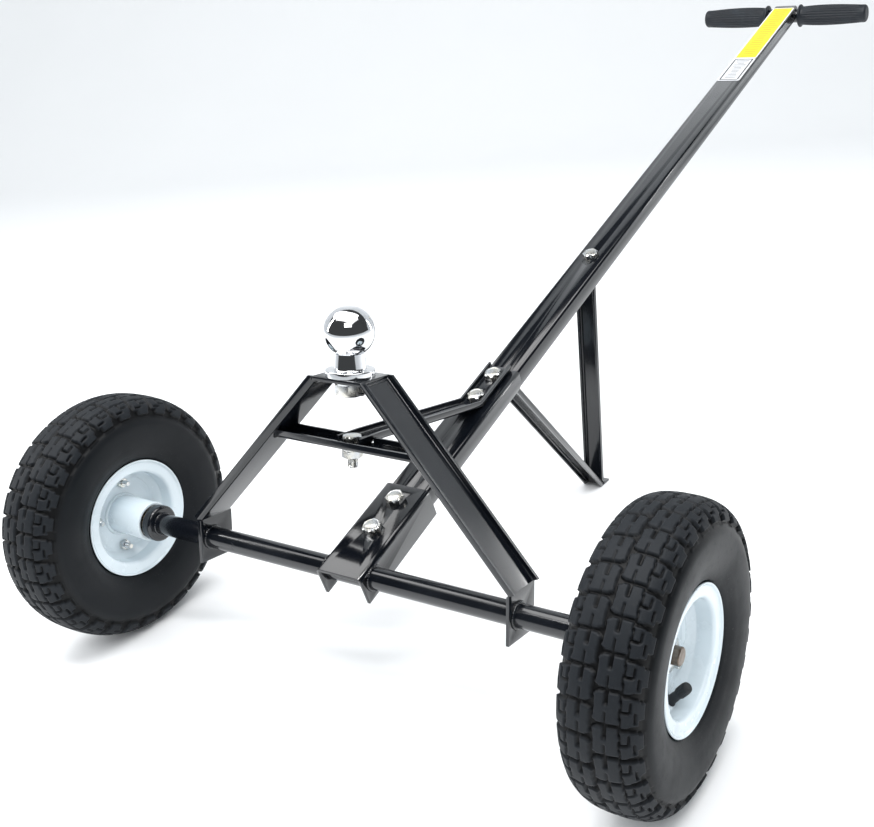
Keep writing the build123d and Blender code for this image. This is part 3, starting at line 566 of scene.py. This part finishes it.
# sizes across the tread are in metres, and lengths round it are shares of one pitch
blocks = {
    "half": 0.462, "bevelHalf": 0.34, "bevelSlope": 24.0, "gap": 0.0005,
    "zigzag": 0.0212, "zigzagDepth": 0.0014, "weave": 0.0010, "weaveDepth": 0.0008,
    "slotAt": 0.0106, "notchHalf": 0.00125, "notchTo": -0.09, "slitHalf": 0.0006, "slitFrom": 0.12,
    "lugShift": 0.42, "lean": 0.09, "leanFrom": 0.022, "leanRun": 0.020,
    "lugEnd": 0.0425, "lugShorter": 0.0050, "shortShift": 0.05, "shortFrom": 0.27,
    "stepAt": 0.0315, "stepShift": 0.0024, "stepHalf": 0.0006, "stepReach": 0.32,
    "cutShift": 0.0005, "cutHalf": 0.0009, "cutEnd": 0.0285,
    "ridgeAt": 0.0450, "ridgeHalf": 0.00075, "ridgeReach": 0.30, "ridgeRamp": 0.0004, "ridgeLift": 0.35,
}


def leastOf(*distances):
    return np.minimum.reduce(distances)


def blockLift(along, across, pitch):
    # Height of the tread over a mirrored half, from 0 in the grooves to 1 on the blocks.
    # Each block is where the least of its distances to its edges is positive, and cuts
    # are taken out in the same way; a short ramp turns the distance into a wall.
    b, v = blocks, across
    u = (along + 0.5) % 1.0 - 0.5
    zigzag = b["zigzag"] + b["zigzagDepth"] * np.abs((u * 4.0 + 0.5) % 2.0 - 1.0)
    weave = b["weave"] + b["weaveDepth"] * np.cos(2 * math.pi * u)
    main = leastOf(pitch * (b["half"] - np.abs(u)), v - weave, zigzag - b["gap"] - v,
                   pitch * (b["bevelHalf"] + b["bevelSlope"] * v - np.abs(u)))
    offSlot = np.abs(v - b["slotAt"])
    notch = leastOf(b["notchHalf"] - offSlot, pitch * (b["notchTo"] - u))
    slit = leastOf(b["slitHalf"] - offSlot, pitch * (u - b["slitFrom"]))
    main = leastOf(main, -notch, -slit)
    w = (along + b["lugShift"]) % 1.0 - 0.5
    lean = b["lean"] * (v - b["leanFrom"]) / b["leanRun"]
    outer = b["lugEnd"] - b["lugShorter"] * (np.abs(w + b["shortShift"]) > b["shortFrom"])
    lug = leastOf(v - zigzag - b["gap"], pitch * (b["half"] - lean - np.abs(w)), outer - v)
    step = leastOf(b["stepHalf"] - np.abs(v - b["stepAt"] - b["stepShift"] * np.sign(w)),
                   pitch * (b["stepReach"] - np.abs(w)))
    cut = leastOf(b["cutHalf"] - np.abs(w * pitch + b["cutShift"]), b["cutEnd"] - v)
    lug = leastOf(lug, -step, -cut)
    ridge = leastOf(b["ridgeHalf"] - np.abs(v - b["ridgeAt"]), pitch * (b["ridgeReach"] - np.abs(w)))
    lift = smoothStep(-tyre["rampBelow"], tyre["ramp"] - tyre["rampBelow"], np.maximum(main, lug))
    return np.maximum(lift, b["ridgeLift"] * smoothStep(0, b["ridgeRamp"], ridge))


def tyreMesh(side, sign):
    # The section is a curve through the outline's points, closed through the bead and cavity.
    # It is carried round the axle. Each point of the tread is lowered along the section's normal
    # by one block height times one less the lift there, and the sidewall rises in fine lines,
    # each a bell of the distance from its place.
    def spacing(total):
        edge = tyre["treadEdge"]
        return np.concatenate([np.linspace(0, edge, tyre["treadSteps"], endpoint=False),
                               np.linspace(edge, total, tyre["sideSteps"])])
    half, across = curveThrough(np.array(tyre["outline"]) * 0.001, spacing)
    inner = np.array(tyre["inside"]) * 0.001
    mirror = np.array([-1.0, 1.0])
    section = np.vstack([half[::-1] * mirror, half[1:], inner, inner[::-1] * mirror])
    lengths = np.concatenate([-across[::-1], across[1:], np.full(2 * len(inner), tyre["insidePlace"])])
    tangent = np.roll(section, -1, 0) - np.roll(section, 1, 0)
    tangent /= np.linalg.norm(tangent, axis=1, keepdims=True)
    normal = arrayOf(-tangent[:, 1], tangent[:, 0])
    # every normal points away from the middle of the tyre's hollow
    outward = (normal * (section - np.array([0, tyre["hollowRadius"]]))).sum(1) > 0
    normal = normal * np.where(outward, 1.0, -1.0)[:, None]
    count = tyre["pitches"] * tyre["stepsPerPitch"]
    turns = np.arange(count) / count
    along = turns[:, None] * tyre["pitches"] + np.where(lengths < 0, 0.5, 0.0)[None]
    place = np.abs(lengths)[None]
    outside = place < tyre["outsideReach"]
    lift = blockLift(along, place + 0 * along, 2 * math.pi * tyre["radius"] / tyre["pitches"])
    tread = 1 - smoothStep(*tyre["treadFade"], place)
    lines = sum(share * np.exp(-((place - at) / width) ** 2) for at, width, share in tyre["lines"])
    sink = tyre["blockHeight"] * (1 - lift) * tread + tyre["inset"] - tyre["lineHeight"] * lines
    sectionX = section[None, :, 0] - sink * normal[None, :, 0] * outside
    sectionR = section[None, :, 1] - sink * normal[None, :, 1] * outside
    angle = 2 * math.pi * turns[:, None] + tyre[side + "Turn"]
    points = aboutX(onAxle(sign * halfTrack), sectionX, sectionR, angle)
    mesh = solidMesh(side + "Tyre", points, closed=True)
    for label, values in (("lift", lift), ("tread", tread), ("nearRim", smoothStep(*tyre["rimFade"], place))):
        field = mesh.attributes.new(label, "FLOAT", "POINT")
        field.data.foreach_set("value", (values * outside + 0 * lift).ravel().astype(np.float32))
    return mesh


for side, sign in bothSides:
    addPiece(side + "_tread_tyre", tyreMesh(side, sign), side + "_wheel", tyreRubber,
             [side + "_tyre"])
print("tyres made")


softened = {"width": 0.0007, "angle": 32.0, "segments": 2, "join": 2e-6, "flat": 0.3, "nodes": {"root": [
    "centre_bracket", "left_leg", "right_leg", "top_plate", "crossbar", "brace_strap", "lower_beam",
    "handle_beam", "stand_front_leg", "stand_rear_leg", "frame_washers", "ball_nut", "ball_lock_washer",
    "axle_washers"], "left_wheel": ["left_hub"], "right_wheel": ["right_hub"]}}


def mergedCopy(nodeName, name):
    # the part's faces joined at their corners, with flat areas made whole again
    work = bmesh.new()
    work.from_mesh(frame["nodes"][nodeName].data)
    bmesh.ops.remove_doubles(work, verts=work.verts, dist=softened["join"])
    bmesh.ops.dissolve_limit(work, angle_limit=math.radians(softened["flat"]), verts=work.verts,
                             edges=work.edges)
    mesh = bpy.data.meshes.new(name)
    work.to_mesh(mesh)
    work.free()
    mesh.polygons.foreach_set("use_smooth", np.ones(len(mesh.polygons), bool))
    return mesh


def soften(nodeName, body):
    slot = slotOfNode[nodeName]
    copy = mergedCopy(nodeName, nodeName + "Eased")
    piece = addPiece(nodeName + "_eased", copy, body, finishOfSlot[slot], [nodeName])
    edge = piece.modifiers.new("softEdge", "BEVEL")
    edge.width, edge.segments = softened["width"], softened["segments"]
    edge.limit_method, edge.angle_limit = "ANGLE", math.radians(softened["angle"])
    edge.harden_normals = True


for body, nodeNames in softened["nodes"].items():
    for nodeName in nodeNames:
        soften(nodeName, body)
print("steel edges softened")


grip = {"inner": 0.027, "outer": 0.141, "waist": 0.0151, "belly": 0.0168, "tip": 0.0142,
    # along and radius, from the bar's hole out over the flange to the waist
    "collar": [(0.0, 0.0112), (0.0, 0.0150), (0.0, 0.0179), (0.0007, 0.0185), (0.0024, 0.0185),
    (0.0031, 0.0179), (0.0036, 0.0166), (0.0052, 0.0153), (0.0075, 0.0151)],
    "barrelSteps": 26, "barrelEnd": 0.0052, "bellyReach": 1.05, "bellyPower": 0.8,
    "tipSteps": 8, "tipRun": 0.0048, "tipDrop": 0.0058, "pole": 0.0004, "ribs": 26,
    "ribHeight": 0.0006, "ribFloor": -0.4, "ribStart": (0.008, 0.014), "ribEnd": (0.016, 0.009),
    "around": 240}


def gripMesh(side, sign):
    # A lathe outline of flange, waist, belly and rounded tip. The barrel swells by a sine and
    # tapers by the cube of its length. Between the flange and the tip the radius changes by the
    # rib height times a cosine round the bar, cut off at a floor, less one.
    centre = middleOf(side + "_grip")
    length = grip["outer"] - grip["inner"]
    low, high = grip["collar"][-1][0], length - grip["barrelEnd"]
    t = np.linspace(0, 1, grip["barrelSteps"])[1:-1]
    swell = np.sin(np.pi * np.clip(t * grip["bellyReach"], 0, 1) ** grip["bellyPower"])
    barrel = grip["waist"] + (grip["belly"] - grip["waist"]) * swell
    barrel = np.minimum(barrel, grip["belly"]) - (grip["waist"] - grip["tip"]) * t ** 3
    turn = np.linspace(0, math.pi / 2, grip["tipSteps"])
    tipX = length - grip["tipRun"] * (1 - np.sin(turn))
    tipR = barrel[-1] - grip["tipDrop"] * (1 - np.cos(turn))
    outline = np.vstack([grip["collar"], arrayOf(low + t * (high - low), barrel), arrayOf(tipX, tipR),
                         [(length, tipR[-1] * 0.5), (length, grip["pole"])]])
    angle = np.linspace(0, 2 * math.pi, grip["around"], endpoint=False)[None]
    x, r = outline[:, :1], outline[:, 1:]
    ribbed = rampedSpan(grip["ribStart"], length - np.array(grip["ribEnd"]), x)
    rib = np.maximum(np.cos(grip["ribs"] * angle), grip["ribFloor"])
    radius = r + ribbed * grip["ribHeight"] * (rib - 1)
    points = aboutX((0, centre.y, centre.z), sign * (grip["inner"] + x), radius, angle)
    return solidMesh(side + "Grip", points)


for side, sign in bothSides:
    addPiece(side + "_rib_grip", gripMesh(side, sign), "root", gripRubber, [side + "_grip"])
print("grips made")

threads = {"pitch": 0.0015, "depth": 0.0007, "stepsPerPitch": 6, "around": 72, "leadIn": 0.0003,
    "runOut": 0.0010, "chamfer": 0.0008, "chamferTop": 0.93, "chamferEnd": 0.80}
fasteners = {"bolt": 0.005, "flats": 0.017, "head": 0.0064, "nut": 0.008, "washer": 0.002,
    "rimBolt": 0.003, "rimFlats": 0.010, "rimHead": 0.004, "rimNut": 0.005, "rimSheet": 0.002,
    "rimCircle": 0.035, "rimLength": 0.016, "leftTurn": 80.0, "rightTurn": 45.0,
    "play": 0.00002, "pole": 0.0002, "sharp": 32, "boltTurn": (0.3, 0.7), "nutTurn": 0.5,
    "rimNutTurn": 0.4}
frameBolts = {"beamTop": 0.01105, "sheet": 0.0025, "bracket": 0.0035, "past": 0.0095, "jointPast": 0.005,
    "bracketAt": (0.044, 0.086), "jointAt": (0.252, 0.291), "standAt": 0.549, "crossbarUp": 0.127}
cornerShare = 1 / math.sqrt(3)  # of a hexagon's width over its flats, from its centre to a corner
# share of the height, share of the flats, and 1 where the section is a hexagon
headProfile = [(1, 0.36, 0), (0.96, 0.40, 0), (1, 0.44, 0), (0.985, 0.475, 1), (0.86, cornerShare, 1),
               (0.12, cornerShare, 1), (0, cornerShare * 0.965, 1)]
nutProfile = [(1, 0.47, 0), (0.90, cornerShare, 1), (0.10, cornerShare, 1), (0, 0.47, 0)]


def lathedHex(sections, flats):
    # Each section is (height, radius, hexagon share, thread share). The radius at an angle is
    # the least of the given one and, with the hexagon share, flats / 2 over the cosine of the
    # angle off the nearest flat. The thread takes off a saw wave that climbs one pitch a turn.
    angle = np.linspace(0, 2 * math.pi, threads["around"], endpoint=False)[None]
    off = (angle + math.pi / 6) % (math.pi / 3) - math.pi / 6
    z, r, share, thread = [column[:, None] for column in np.array(sections, float).T]
    radius = np.where(share > 0.5, np.minimum(r, flats / 2 / np.cos(off)), r + 0 * angle)
    wave = np.abs((z / threads["pitch"] - angle / (2 * math.pi)) % 1.0 - 0.5) * 2
    radius = radius - thread * threads["depth"] * wave
    return arrayOf(radius * np.cos(angle), radius * np.sin(angle), z)


def profiled(profile, height, flats):
    return [(height * up, flats * out, hexagon, 0) for up, out, hexagon in profile]


def boltShape(radius, flats, head, length, threadFrom):
    # from the head's crown down over its flats, then the shank, the thread and its chamfered end
    shank = [(-t, radius, 0, 0) for t in (0.0, threadFrom * 0.5, threadFrom)]
    turns = np.arange(threadFrom + threads["leadIn"], length - threads["runOut"],
                      threads["pitch"] / threads["stepsPerPitch"])
    thread = [(-t, radius, 0, 1) for t in turns]
    end = [(threads["chamfer"] - length, radius * threads["chamferTop"], 0, 0),
           (-length, radius * threads["chamferEnd"], 0, 0), (-length, fasteners["pole"], 0, 0)]
    crown = [(head, fasteners["pole"], 0, 0)] + profiled(headProfile, head, flats)
    return lathedHex(crown + shank + thread + end, flats)


def nutShape(radius, flats, height):
    # a closed loop: out over the top chamfer, down the flats and up through the hole
    radius = radius + fasteners["play"]
    sections = [(height, radius, 0, 0)] + profiled(nutProfile, height, flats) + [(0.0, radius, 0, 0)]
    return lathedHex(sections, flats)


def addSet(name, shapes, body, replaced, closed=False):
    # like fasteners in one piece
    mesh = joinMeshes(name, [solidMesh(name, shape, closed) for shape in shapes])
    addPiece(name, mesh, body, zincPlate, replaced, fasteners["sharp"])


def frameStacks():
    # head seat, direction of the shank, thickness under the head and length past the nut
    top, sheet, bracket, past = [frameBolts[key] for key in ("beamTop", "sheet", "bracket", "past")]
    down = beamTurn.to_3x3() @ Vector((0, 0, -1))
    mastDown = mastTurn.to_3x3() @ Vector((0, 0, -1))
    stacks = [(beamPlace @ Vector((0, along, top + bracket)), down, bracket + sheet, past)
              for along in frameBolts["bracketAt"]]
    stacks += [(beamPlace @ Vector((0, along, top + sheet)), down, 4 * sheet, frameBolts["jointPast"])
               for along in frameBolts["jointAt"]]
    stacks.append((beamPlace @ Vector((0, frameBolts["standAt"], top - sheet)), down, 2 * sheet, past))
    stacks.append((mastPlace @ Vector((0, 0, frameBolts["crossbarUp"])), mastDown, 2 * sheet, past))
    return stacks


def makeFasteners():
    bolts, nuts = [], []
    radius, flats, nut = fasteners["bolt"], fasteners["flats"], fasteners["nut"]
    firstTurn, turnStep = fasteners["boltTurn"]
    for index, (seat, direction, gripped, past) in enumerate(frameStacks()):
        threadFrom = gripped + fasteners["washer"]
        bolt = boltShape(radius, flats, fasteners["head"], threadFrom + nut + past, threadFrom)
        bolts.append(placedAlong(bolt, seat, direction, firstTurn + index * turnStep))
        under = seat + direction * (threadFrom + nut)
        nuts.append(placedAlong(nutShape(radius, flats, nut), under, direction, fasteners["nutTurn"] + index))
    addSet("frame_bolt_set", bolts, "root", ["frame_bolts", "joint_bolts"])
    addSet("frame_nut_set", nuts, "root", ["frame_nuts"], closed=True)


def rimFasteners(side, sign):
    bolts, nuts, inward = [], [], Vector((-sign, 0, 0))
    radius, flats, head = fasteners["rimBolt"], fasteners["rimFlats"], fasteners["rimHead"]
    sheet, height = fasteners["rimSheet"], fasteners["rimNut"]
    bolt = boltShape(radius, flats, head, fasteners["rimLength"], head)
    nut = nutShape(radius, flats, height)
    for index in range(4):
        angle = math.radians(fasteners[side + "Turn"]) + index * math.pi / 2
        arm = Vector((0, math.cos(angle), math.sin(angle))) * fasteners["rimCircle"]
        centre = Vector(onAxle(sign * halfTrack)) + arm
        bolts.append(placedAlong(bolt, centre - inward * sheet, inward, index))
        under = centre + inward * (sheet + height)
        nuts.append(placedAlong(nut, under, inward, fasteners["rimNutTurn"] + index))
    addSet(side + "_rim_bolt_set", bolts, side + "_wheel", [side + "_rim_bolts"])
    addSet(side + "_rim_nut_set", nuts, side + "_wheel", [side + "_rim_nuts"], closed=True)


makeFasteners()
for side, sign in bothSides:
    rimFasteners(side, sign)
print("fasteners made")


rim = {"middle": 0.001, "hubFit": 0.0206, "discEdge": 0.042, "drumStart": 0.0099, "drum": 0.0498,
    "flangeX": 0.026, "flangeTop": 0.0602, "lipOut": 0.0022, "lipTop": 0.0618, "sheet": 0.002,
    "press": 0.0032, "ribAt": 0.0405, "ribHalfWidth": 0.0036, "ribRise": 0.0018, "ribHalfAngle": 27.0,
    "ribPlateau": 0.55, "discSteps": 30, "rollSteps": 7, "around": 216}


def rimHalfMesh(wheelX, sign, turn):
    # The sheet follows a rounded path from the hub over disc, cone, drum and flange to a lip that
    # rolls outwards. It is half a thickness each side of that path, and four ribs between the
    # bolts lift it by a bell over the radius times a bell over the angle.
    corners = [(rim["middle"], rim["hubFit"]), (rim["middle"], rim["discEdge"]),
               (rim["drumStart"], rim["drum"]), (rim["flangeX"], rim["drum"]),
               (rim["flangeX"], rim["flangeTop"]), (rim["flangeX"] + rim["lipOut"], rim["lipTop"])]
    line = roundedPath(corners, rim["press"])
    disc = np.linspace(rim["hubFit"], line[1, 1], rim["discSteps"])[:, None]
    line = np.vstack([np.hstack([rim["middle"] + 0 * disc, disc]), line[2:]])
    tangent = np.gradient(line, axis=0)
    tangent /= np.linalg.norm(tangent, axis=1, keepdims=True)
    normal = arrayOf(tangent[:, 1], -tangent[:, 0])
    half = rim["sheet"] / 2
    t = np.linspace(-math.pi / 2, math.pi / 2, rim["rollSteps"])[1:-1, None]
    roll = line[-1] + half * (np.cos(t) * tangent[-1] - np.sin(t) * normal[-1])
    outline = np.vstack([line + half * normal, roll, (line - half * normal)[::-1]])
    angle = np.linspace(0, 2 * math.pi, rim["around"], endpoint=False)[None]
    x, r = outline[:, :1], outline[:, 1:]
    off = np.degrees((angle - turn) % (math.pi / 2)) - 45
    across = 1 - smoothStep(0, rim["ribHalfWidth"], np.abs(r - rim["ribAt"]))
    rise = across * (1 - smoothStep(rim["ribPlateau"], 1, np.abs(off) / rim["ribHalfAngle"]))
    points = aboutX(onAxle(wheelX), sign * (x + rim["ribRise"] * rise), r, angle)
    return solidMesh("rimHalf", points, closed=True)


for side, sign in bothSides:
    turn = math.radians(fasteners[side + "Turn"])
    for half, way in (("outer", sign), ("inner", -sign)):
        addPiece(side + "_" + half + "_rim_pressing", rimHalfMesh(sign * halfTrack, way, turn),
                 side + "_wheel", whiteEnamel, [side + "_" + half + "_rim_half"])
print("rims made")

hitchBall = {"plateTop": 0.190, "rise": 0.040, "radius": 0.0238, "flat": 0.0223, "neck": 0.014,
    "neckFoot": 0.015, "flange": 0.023, "flangeHeight": 0.006, "flangeEdge": 0.0012,
    "fillet": 0.0018, "shank": 0.009525, "shankEnd": -0.0195, "shankTip": 0.86, "around": 160,
    "arcSteps": 60, "filletSteps": 8, "chamfer": 0.0003, "threadTop": -0.0002, "pole": 0.0003}


def hitchBallMesh():
    # a circle's arc from the flat top to the neck, a flared neck with a filleted foot, a flange
    # with eased edges and the threaded shank
    ball = hitchBall
    radius, rise, shank, flange = ball["radius"], ball["rise"], ball["shank"], ball["flange"]
    top = math.acos(ball["flat"] / radius)
    low = math.pi - math.asin(ball["neck"] / radius)
    arc = np.linspace(top, low, ball["arcSteps"])
    dome = arrayOf(rise + radius * np.cos(arc), radius * np.sin(arc))
    foot, ease, fillet = ball["flangeHeight"], ball["flangeEdge"], ball["fillet"]
    turn = np.linspace(0, math.pi / 2, ball["filletSteps"])
    neck = arrayOf(foot + fillet * (1 - np.sin(turn)), ball["neckFoot"] + fillet * (1 - np.cos(turn)))
    edge = arrayOf(foot - ease + ease * np.cos(turn), flange - ease + ease * np.sin(turn))
    thread = [(z, shank - threads["depth"] * (i % 2)) for i, z in
              enumerate(np.arange(ball["threadTop"], ball["shankEnd"], -threads["pitch"] / 2))]
    outline = np.vstack([[(rise + ball["flat"], ball["pole"])], dome, neck, edge,
                         [(ball["chamfer"], flange), (0, flange - ball["chamfer"])], thread,
                         [(ball["shankEnd"], shank * ball["shankTip"]), (ball["shankEnd"], ball["pole"])]])
    place = mastPlace @ Matrix.Translation((0, 0, ball["plateTop"]))
    return solidMesh("hitchBall", moved(turnedShape(outline, ball["around"]), place))


addPiece("chrome_hitch_ball", hitchBallMesh(), "root", brightChrome, ["hitch_ball"],
         sharpAngle=40)
print("hitch ball made")

valve = {"coneRun": 0.0089, "coneRise": 0.0078, "capLength": 0.012, "capRadius": 0.005, "ribs": 18,
    "ribShare": 0.045, "domeRun": 0.0022, "domeShares": (0.42, 0.52), "bodyShare": 0.97,
    # along, and share of the cap's radius, at its open end
    "mouth": [(0, 0.75), (0, 0.97), (0.0004, 1.0), (0.0014, 1.0), (0.0018, 0.95)],
    "body": (0.0022, 0.0026), "ribStart": (0.0018, 0.0026), "ribEnd": (0.0036, 0.0024),
    "pole": 0.0003, "sharp": 38, "stemRadius": 0.004, "stemLength": 0.014, "baseRadius": 0.0052,
    "flareRun": 0.0022, "footRun": 0.008, "footStart": 0.0006, "footTop": 0.0090, "footSkin": 0.00015,
    "footEnds": 0.9, "footBottom": 0.0002, "around": 108, "footAround": 48}


def valvePieces(side, sign):
    # The cap is a ribbed sleeve with a domed end. The stem flares into a rubber foot by a bell of
    # the distance from the foot.
    cap = middleOf(side + "_valve_cap")
    inward = (axleCentre - cap) * Vector((0, 1, 1))
    slope = math.atan2(valve["coneRise"], valve["coneRun"])
    way = Vector((sign * math.sin(slope), 0, 0)) + inward.normalized() * math.cos(slope)
    length, radius, run = valve["capLength"], valve["capRadius"], valve["domeRun"]
    start = cap - way * length / 2
    dome = np.linspace(0, math.pi / 2, 9)
    rimShare, roundShare = valve["domeShares"]
    bodyAt = np.linspace(valve["body"][0], length - valve["body"][1], 12)
    outline = np.vstack([np.array(valve["mouth"]) * [1, radius], arrayOf(bodyAt, valve["bodyShare"] * radius),
                         arrayOf(length - run + run * np.sin(dome),
                                 radius * (rimShare + roundShare * np.cos(dome))),
                         [(length, valve["pole"])]])

    def ribs(angle, height):
        span = rampedSpan(valve["ribStart"], length - np.array(valve["ribEnd"]), height)
        return valve["ribShare"] * span * np.cos(valve["ribs"] * angle)
    points = placedAlong(turnedShape(outline, valve["around"], ribs), start, -way)
    addPiece(side + "_valve_ribbed_cap", solidMesh("valveCap", points), side + "_wheel",
             capPlastic, [side + "_valve_cap"], sharpAngle=valve["sharp"])
    t = np.linspace(0, 1, 14) * valve["footRun"]
    stem, base = valve["stemRadius"], valve["baseRadius"]
    flare = stem + (base - stem) * np.exp(-(t / valve["flareRun"]) ** 2) + valve["footSkin"]
    narrow = stem * valve["footEnds"]
    outline = np.vstack([[(valve["footBottom"], narrow)], arrayOf(valve["footStart"] + t, flare),
                         [(valve["footTop"], narrow)]])
    points = placedAlong(turnedShape(outline, valve["footAround"]), start - way * valve["stemLength"], -way)
    addPiece(side + "_valve_foot", solidMesh("valveFoot", points), side + "_wheel", tubeRubber)


for side, sign in bothSides:
    valvePieces(side, sign)
print("valves made")

weld = {
    "ripple": 0.0021, "rippleDepth": 0.13, "perRipple": 5, "sides": 9, "endShare": 0.35, "fewest": 12,
    "guide": (0.31, 0.27, 0.91),  # along no bead
    # place along the axle and bead; then across and up the mast, reach each way and bead
    "axle": [(0.0266, 0.0016), (0.1788, 0.0016), (0.1822, 0.0018), (0.2511, 0.0012)], "axleOff": 0.0003,
    "mast": [((0.0246, 0.185), 0.0205, 0.0016), ((0.0286, 0.1858), 0.0175, 0.0014),
    ((0.0843, 0.1214), 0.0125, 0.0014)],
    "barRadius": 0.0112, "barOff": 0.0003, "barBead": 0.0015, "barArc": (-8, 186),
    "hubPlace": 0.0024, "hubOff": 0.0004, "hubBead": 0.0022,
}


def weldMesh(corners, bead):
    # a bead along a line of points: a round section whose radius swells once a ripple
    corners = np.array(corners, float)
    length = lengthsAlong(corners)[-1]
    count = max(weld["fewest"], int(length / weld["ripple"] * weld["perRipple"]))
    at = np.linspace(0, length, count)
    swell = np.abs(np.sin(math.pi * at / weld["ripple"]))
    ends = np.minimum(1, weld["endShare"] + np.minimum(at, length - at) / (2 * bead))
    radius = bead * ends * (1 - weld["rippleDepth"] * (1 - swell))
    return sweptTube("bead", pointsAt(at, corners), radius, weld["sides"], weld["guide"])


def ringPoints(centre, radius, start=0.0, end=360.0):
    # a circle about a line along X
    return aboutX(centre, 0, radius, np.radians(np.linspace(start, end, 60)))


def addWelds():
    tube = halfOf("axle_tube").z + weld["axleOff"]
    seams = [weldMesh(ringPoints(onAxle(sign * x), tube), bead)
             for x, bead in weld["axle"] for sign in (-1, 1)]
    addPiece("axle_welds", joinMeshes("axleWelds", seams), "root", glossBlack)
    seams = [weldMesh([mastPlace @ Vector((sign * x, y, up)) for y in (-reach, reach)], bead)
             for sign in (-1, 1) for (x, up), reach, bead in weld["mast"]]
    addPiece("mast_welds", joinMeshes("mastWelds", seams), "root", glossBlack)
    bar, edge = middleOf("handle_bar"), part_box("handle_beam")[1].x + weld["barOff"]
    seams = [weldMesh(ringPoints((sign * edge, bar.y, bar.z), weld["barRadius"], *weld["barArc"]),
                      weld["barBead"]) for sign in (-1, 1)]
    addPiece("bar_welds", joinMeshes("barWelds", seams), "root", glossBlack)
    for side, sign in bothSides:
        hub = halfOf(side + "_hub").z + weld["hubOff"]
        places = [sign * halfTrack + way * weld["hubPlace"] for way in (-1, 1)]
        seams = [weldMesh(ringPoints(onAxle(x), hub), weld["hubBead"]) for x in places]
        addPiece(side + "_hub_welds", joinMeshes("hubWelds", seams), side + "_wheel",
                 whiteEnamel)


addWelds()
print("welds made")

studio = {"floorReach": 30.0, "wallHeight": 6.0, "bend": 1.6, "wallBehind": 2.6, "depthSteps": 40,
    "air": (0.93, 0.97, 1.0, 1.0), "airStrength": 0.88, "mirroredAir": 0.06}


def floorLinks(start):
    place = start.objectPlace()
    tone = start.noise(place, 3.0, 2.0)
    return {"Base Color": tone.blend((0.90, 0.905, 0.91), (0.92, 0.925, 0.93)),
            "Roughness": 0.55 + tone * 0.1}


def addStudio(heading):
    # a floor that curves up into a wall: level, then a quarter circle, then upright
    reach, bend = studio["floorReach"], studio["bend"]
    turn = np.linspace(0, math.pi / 2, studio["depthSteps"])
    level = np.array([[-reach, 0.0], [0.0, 0.0], [studio["wallBehind"], 0.0]])
    curve = arrayOf(studio["wallBehind"] + bend * np.sin(turn), bend - bend * np.cos(turn))
    wall = np.array([[studio["wallBehind"] + bend, studio["wallHeight"]]])
    profile = np.vstack([level, curve[1:], wall])
    points = arrayOf(np.array([[-reach, reach]]), profile[:, :1], profile[:, 1:])
    mesh = gridMesh("studioFloor", moved(points, Matrix.Rotation(heading, 4, "Z")), loopAround=False)
    floor = bpy.data.objects.new("studio_floor", mesh)
    bpy.context.scene.collection.objects.link(floor)
    mesh.materials.append(makeFinish("palePaper", {"Specular IOR Level": 0.2}, floorLinks))


def addLight(name, place, aim, width, height, power, mirroredOnly):
    data = bpy.data.lights.new(name, "AREA")
    data.shape, data.size, data.size_y = "RECTANGLE", width, height
    data.energy = power
    light = bpy.data.objects.new(name, data)
    light.location = place
    light.visible_camera, light.visible_diffuse = False, not mirroredOnly
    light.rotation_euler = (Vector(aim) - Vector(place)).to_track_quat("-Z", "Y").to_euler()
    bpy.context.scene.collection.objects.link(light)


camera = {"place": (0.6362, -1.3070, 0.6575), "heading": 0.5506, "pitch": -0.3551, "roll": -0.0694,
    "lens": 46.72, "shift": (-0.0892, -0.0323), "sensor": 36.0, "clip": (0.02, 60.0)}


def addCamera():
    data = bpy.data.cameras.new("mainCamera")
    data.lens, data.sensor_width = camera["lens"], camera["sensor"]
    data.shift_x, data.shift_y = camera["shift"]
    data.clip_start, data.clip_end = camera["clip"]
    view = bpy.data.objects.new("mainCamera", data)
    turn = Matrix.Rotation(camera["heading"], 4, "Z")
    turn = turn @ Matrix.Rotation(math.pi / 2 + camera["pitch"], 4, "X")
    turn = turn @ Matrix.Rotation(camera["roll"], 4, "Z")
    view.matrix_world = Matrix.Translation(camera["place"]) @ turn
    bpy.context.scene.collection.objects.link(view)
    bpy.context.scene.camera = view


def addWorld():
    # pale all round for the floor and the paint, but dark in what shiny parts mirror
    world = bpy.data.worlds.new("studioWorld")
    bpy.context.scene.world = world
    world.use_nodes = True
    tree = world.node_tree
    background = tree.nodes["Background"]
    background.inputs["Color"].default_value = studio["air"]
    mirrored = Wire(tree).node("LightPath", out=3)
    strength = mirrored * (studio["mirroredAir"] - studio["airStrength"]) + studio["airStrength"]
    tree.links.new(strength.socket, background.inputs["Strength"])


lights = [  # name, place, aim, width, height, power and whether only shiny parts see it
    ("overheadSheet", (0.1, -0.7, 2.7), (0.1, -0.4, 0), 3.6, 2.2, 34, True),
    ("overheadLeft", (-1.3, -0.5, 2.3), (0, -0.3, 0), 1.3, 1.6, 22, False),
    ("overheadRight", (0.5, 0.0, 2.6), (0, -0.3, 0), 1.2, 1.5, 22, False),
    ("frontBox", (1.0, -1.9, 2.1), (0, -0.5, 0.3), 1.3, 0.8, 14, False),
    ("topStrip", (0.2, -1.15, 2.3), (0, -0.55, 0.1), 2.2, 0.10, 26, False),
    ("backRightStrip", (1.5, 1.9, 0.75), (0, -0.4, 0.15), 0.12, 1.5, 7, False),
    ("leftStrip", (-2.0, -1.3, 1.1), (0, -0.4, 0.2), 0.20, 1.5, 18, False),
]
addStudio(camera["heading"])
addCamera()
addWorld()
for light in lights:
    addLight(*light)
bpy.context.scene.view_settings.view_transform = "Standard"
print("studio made")
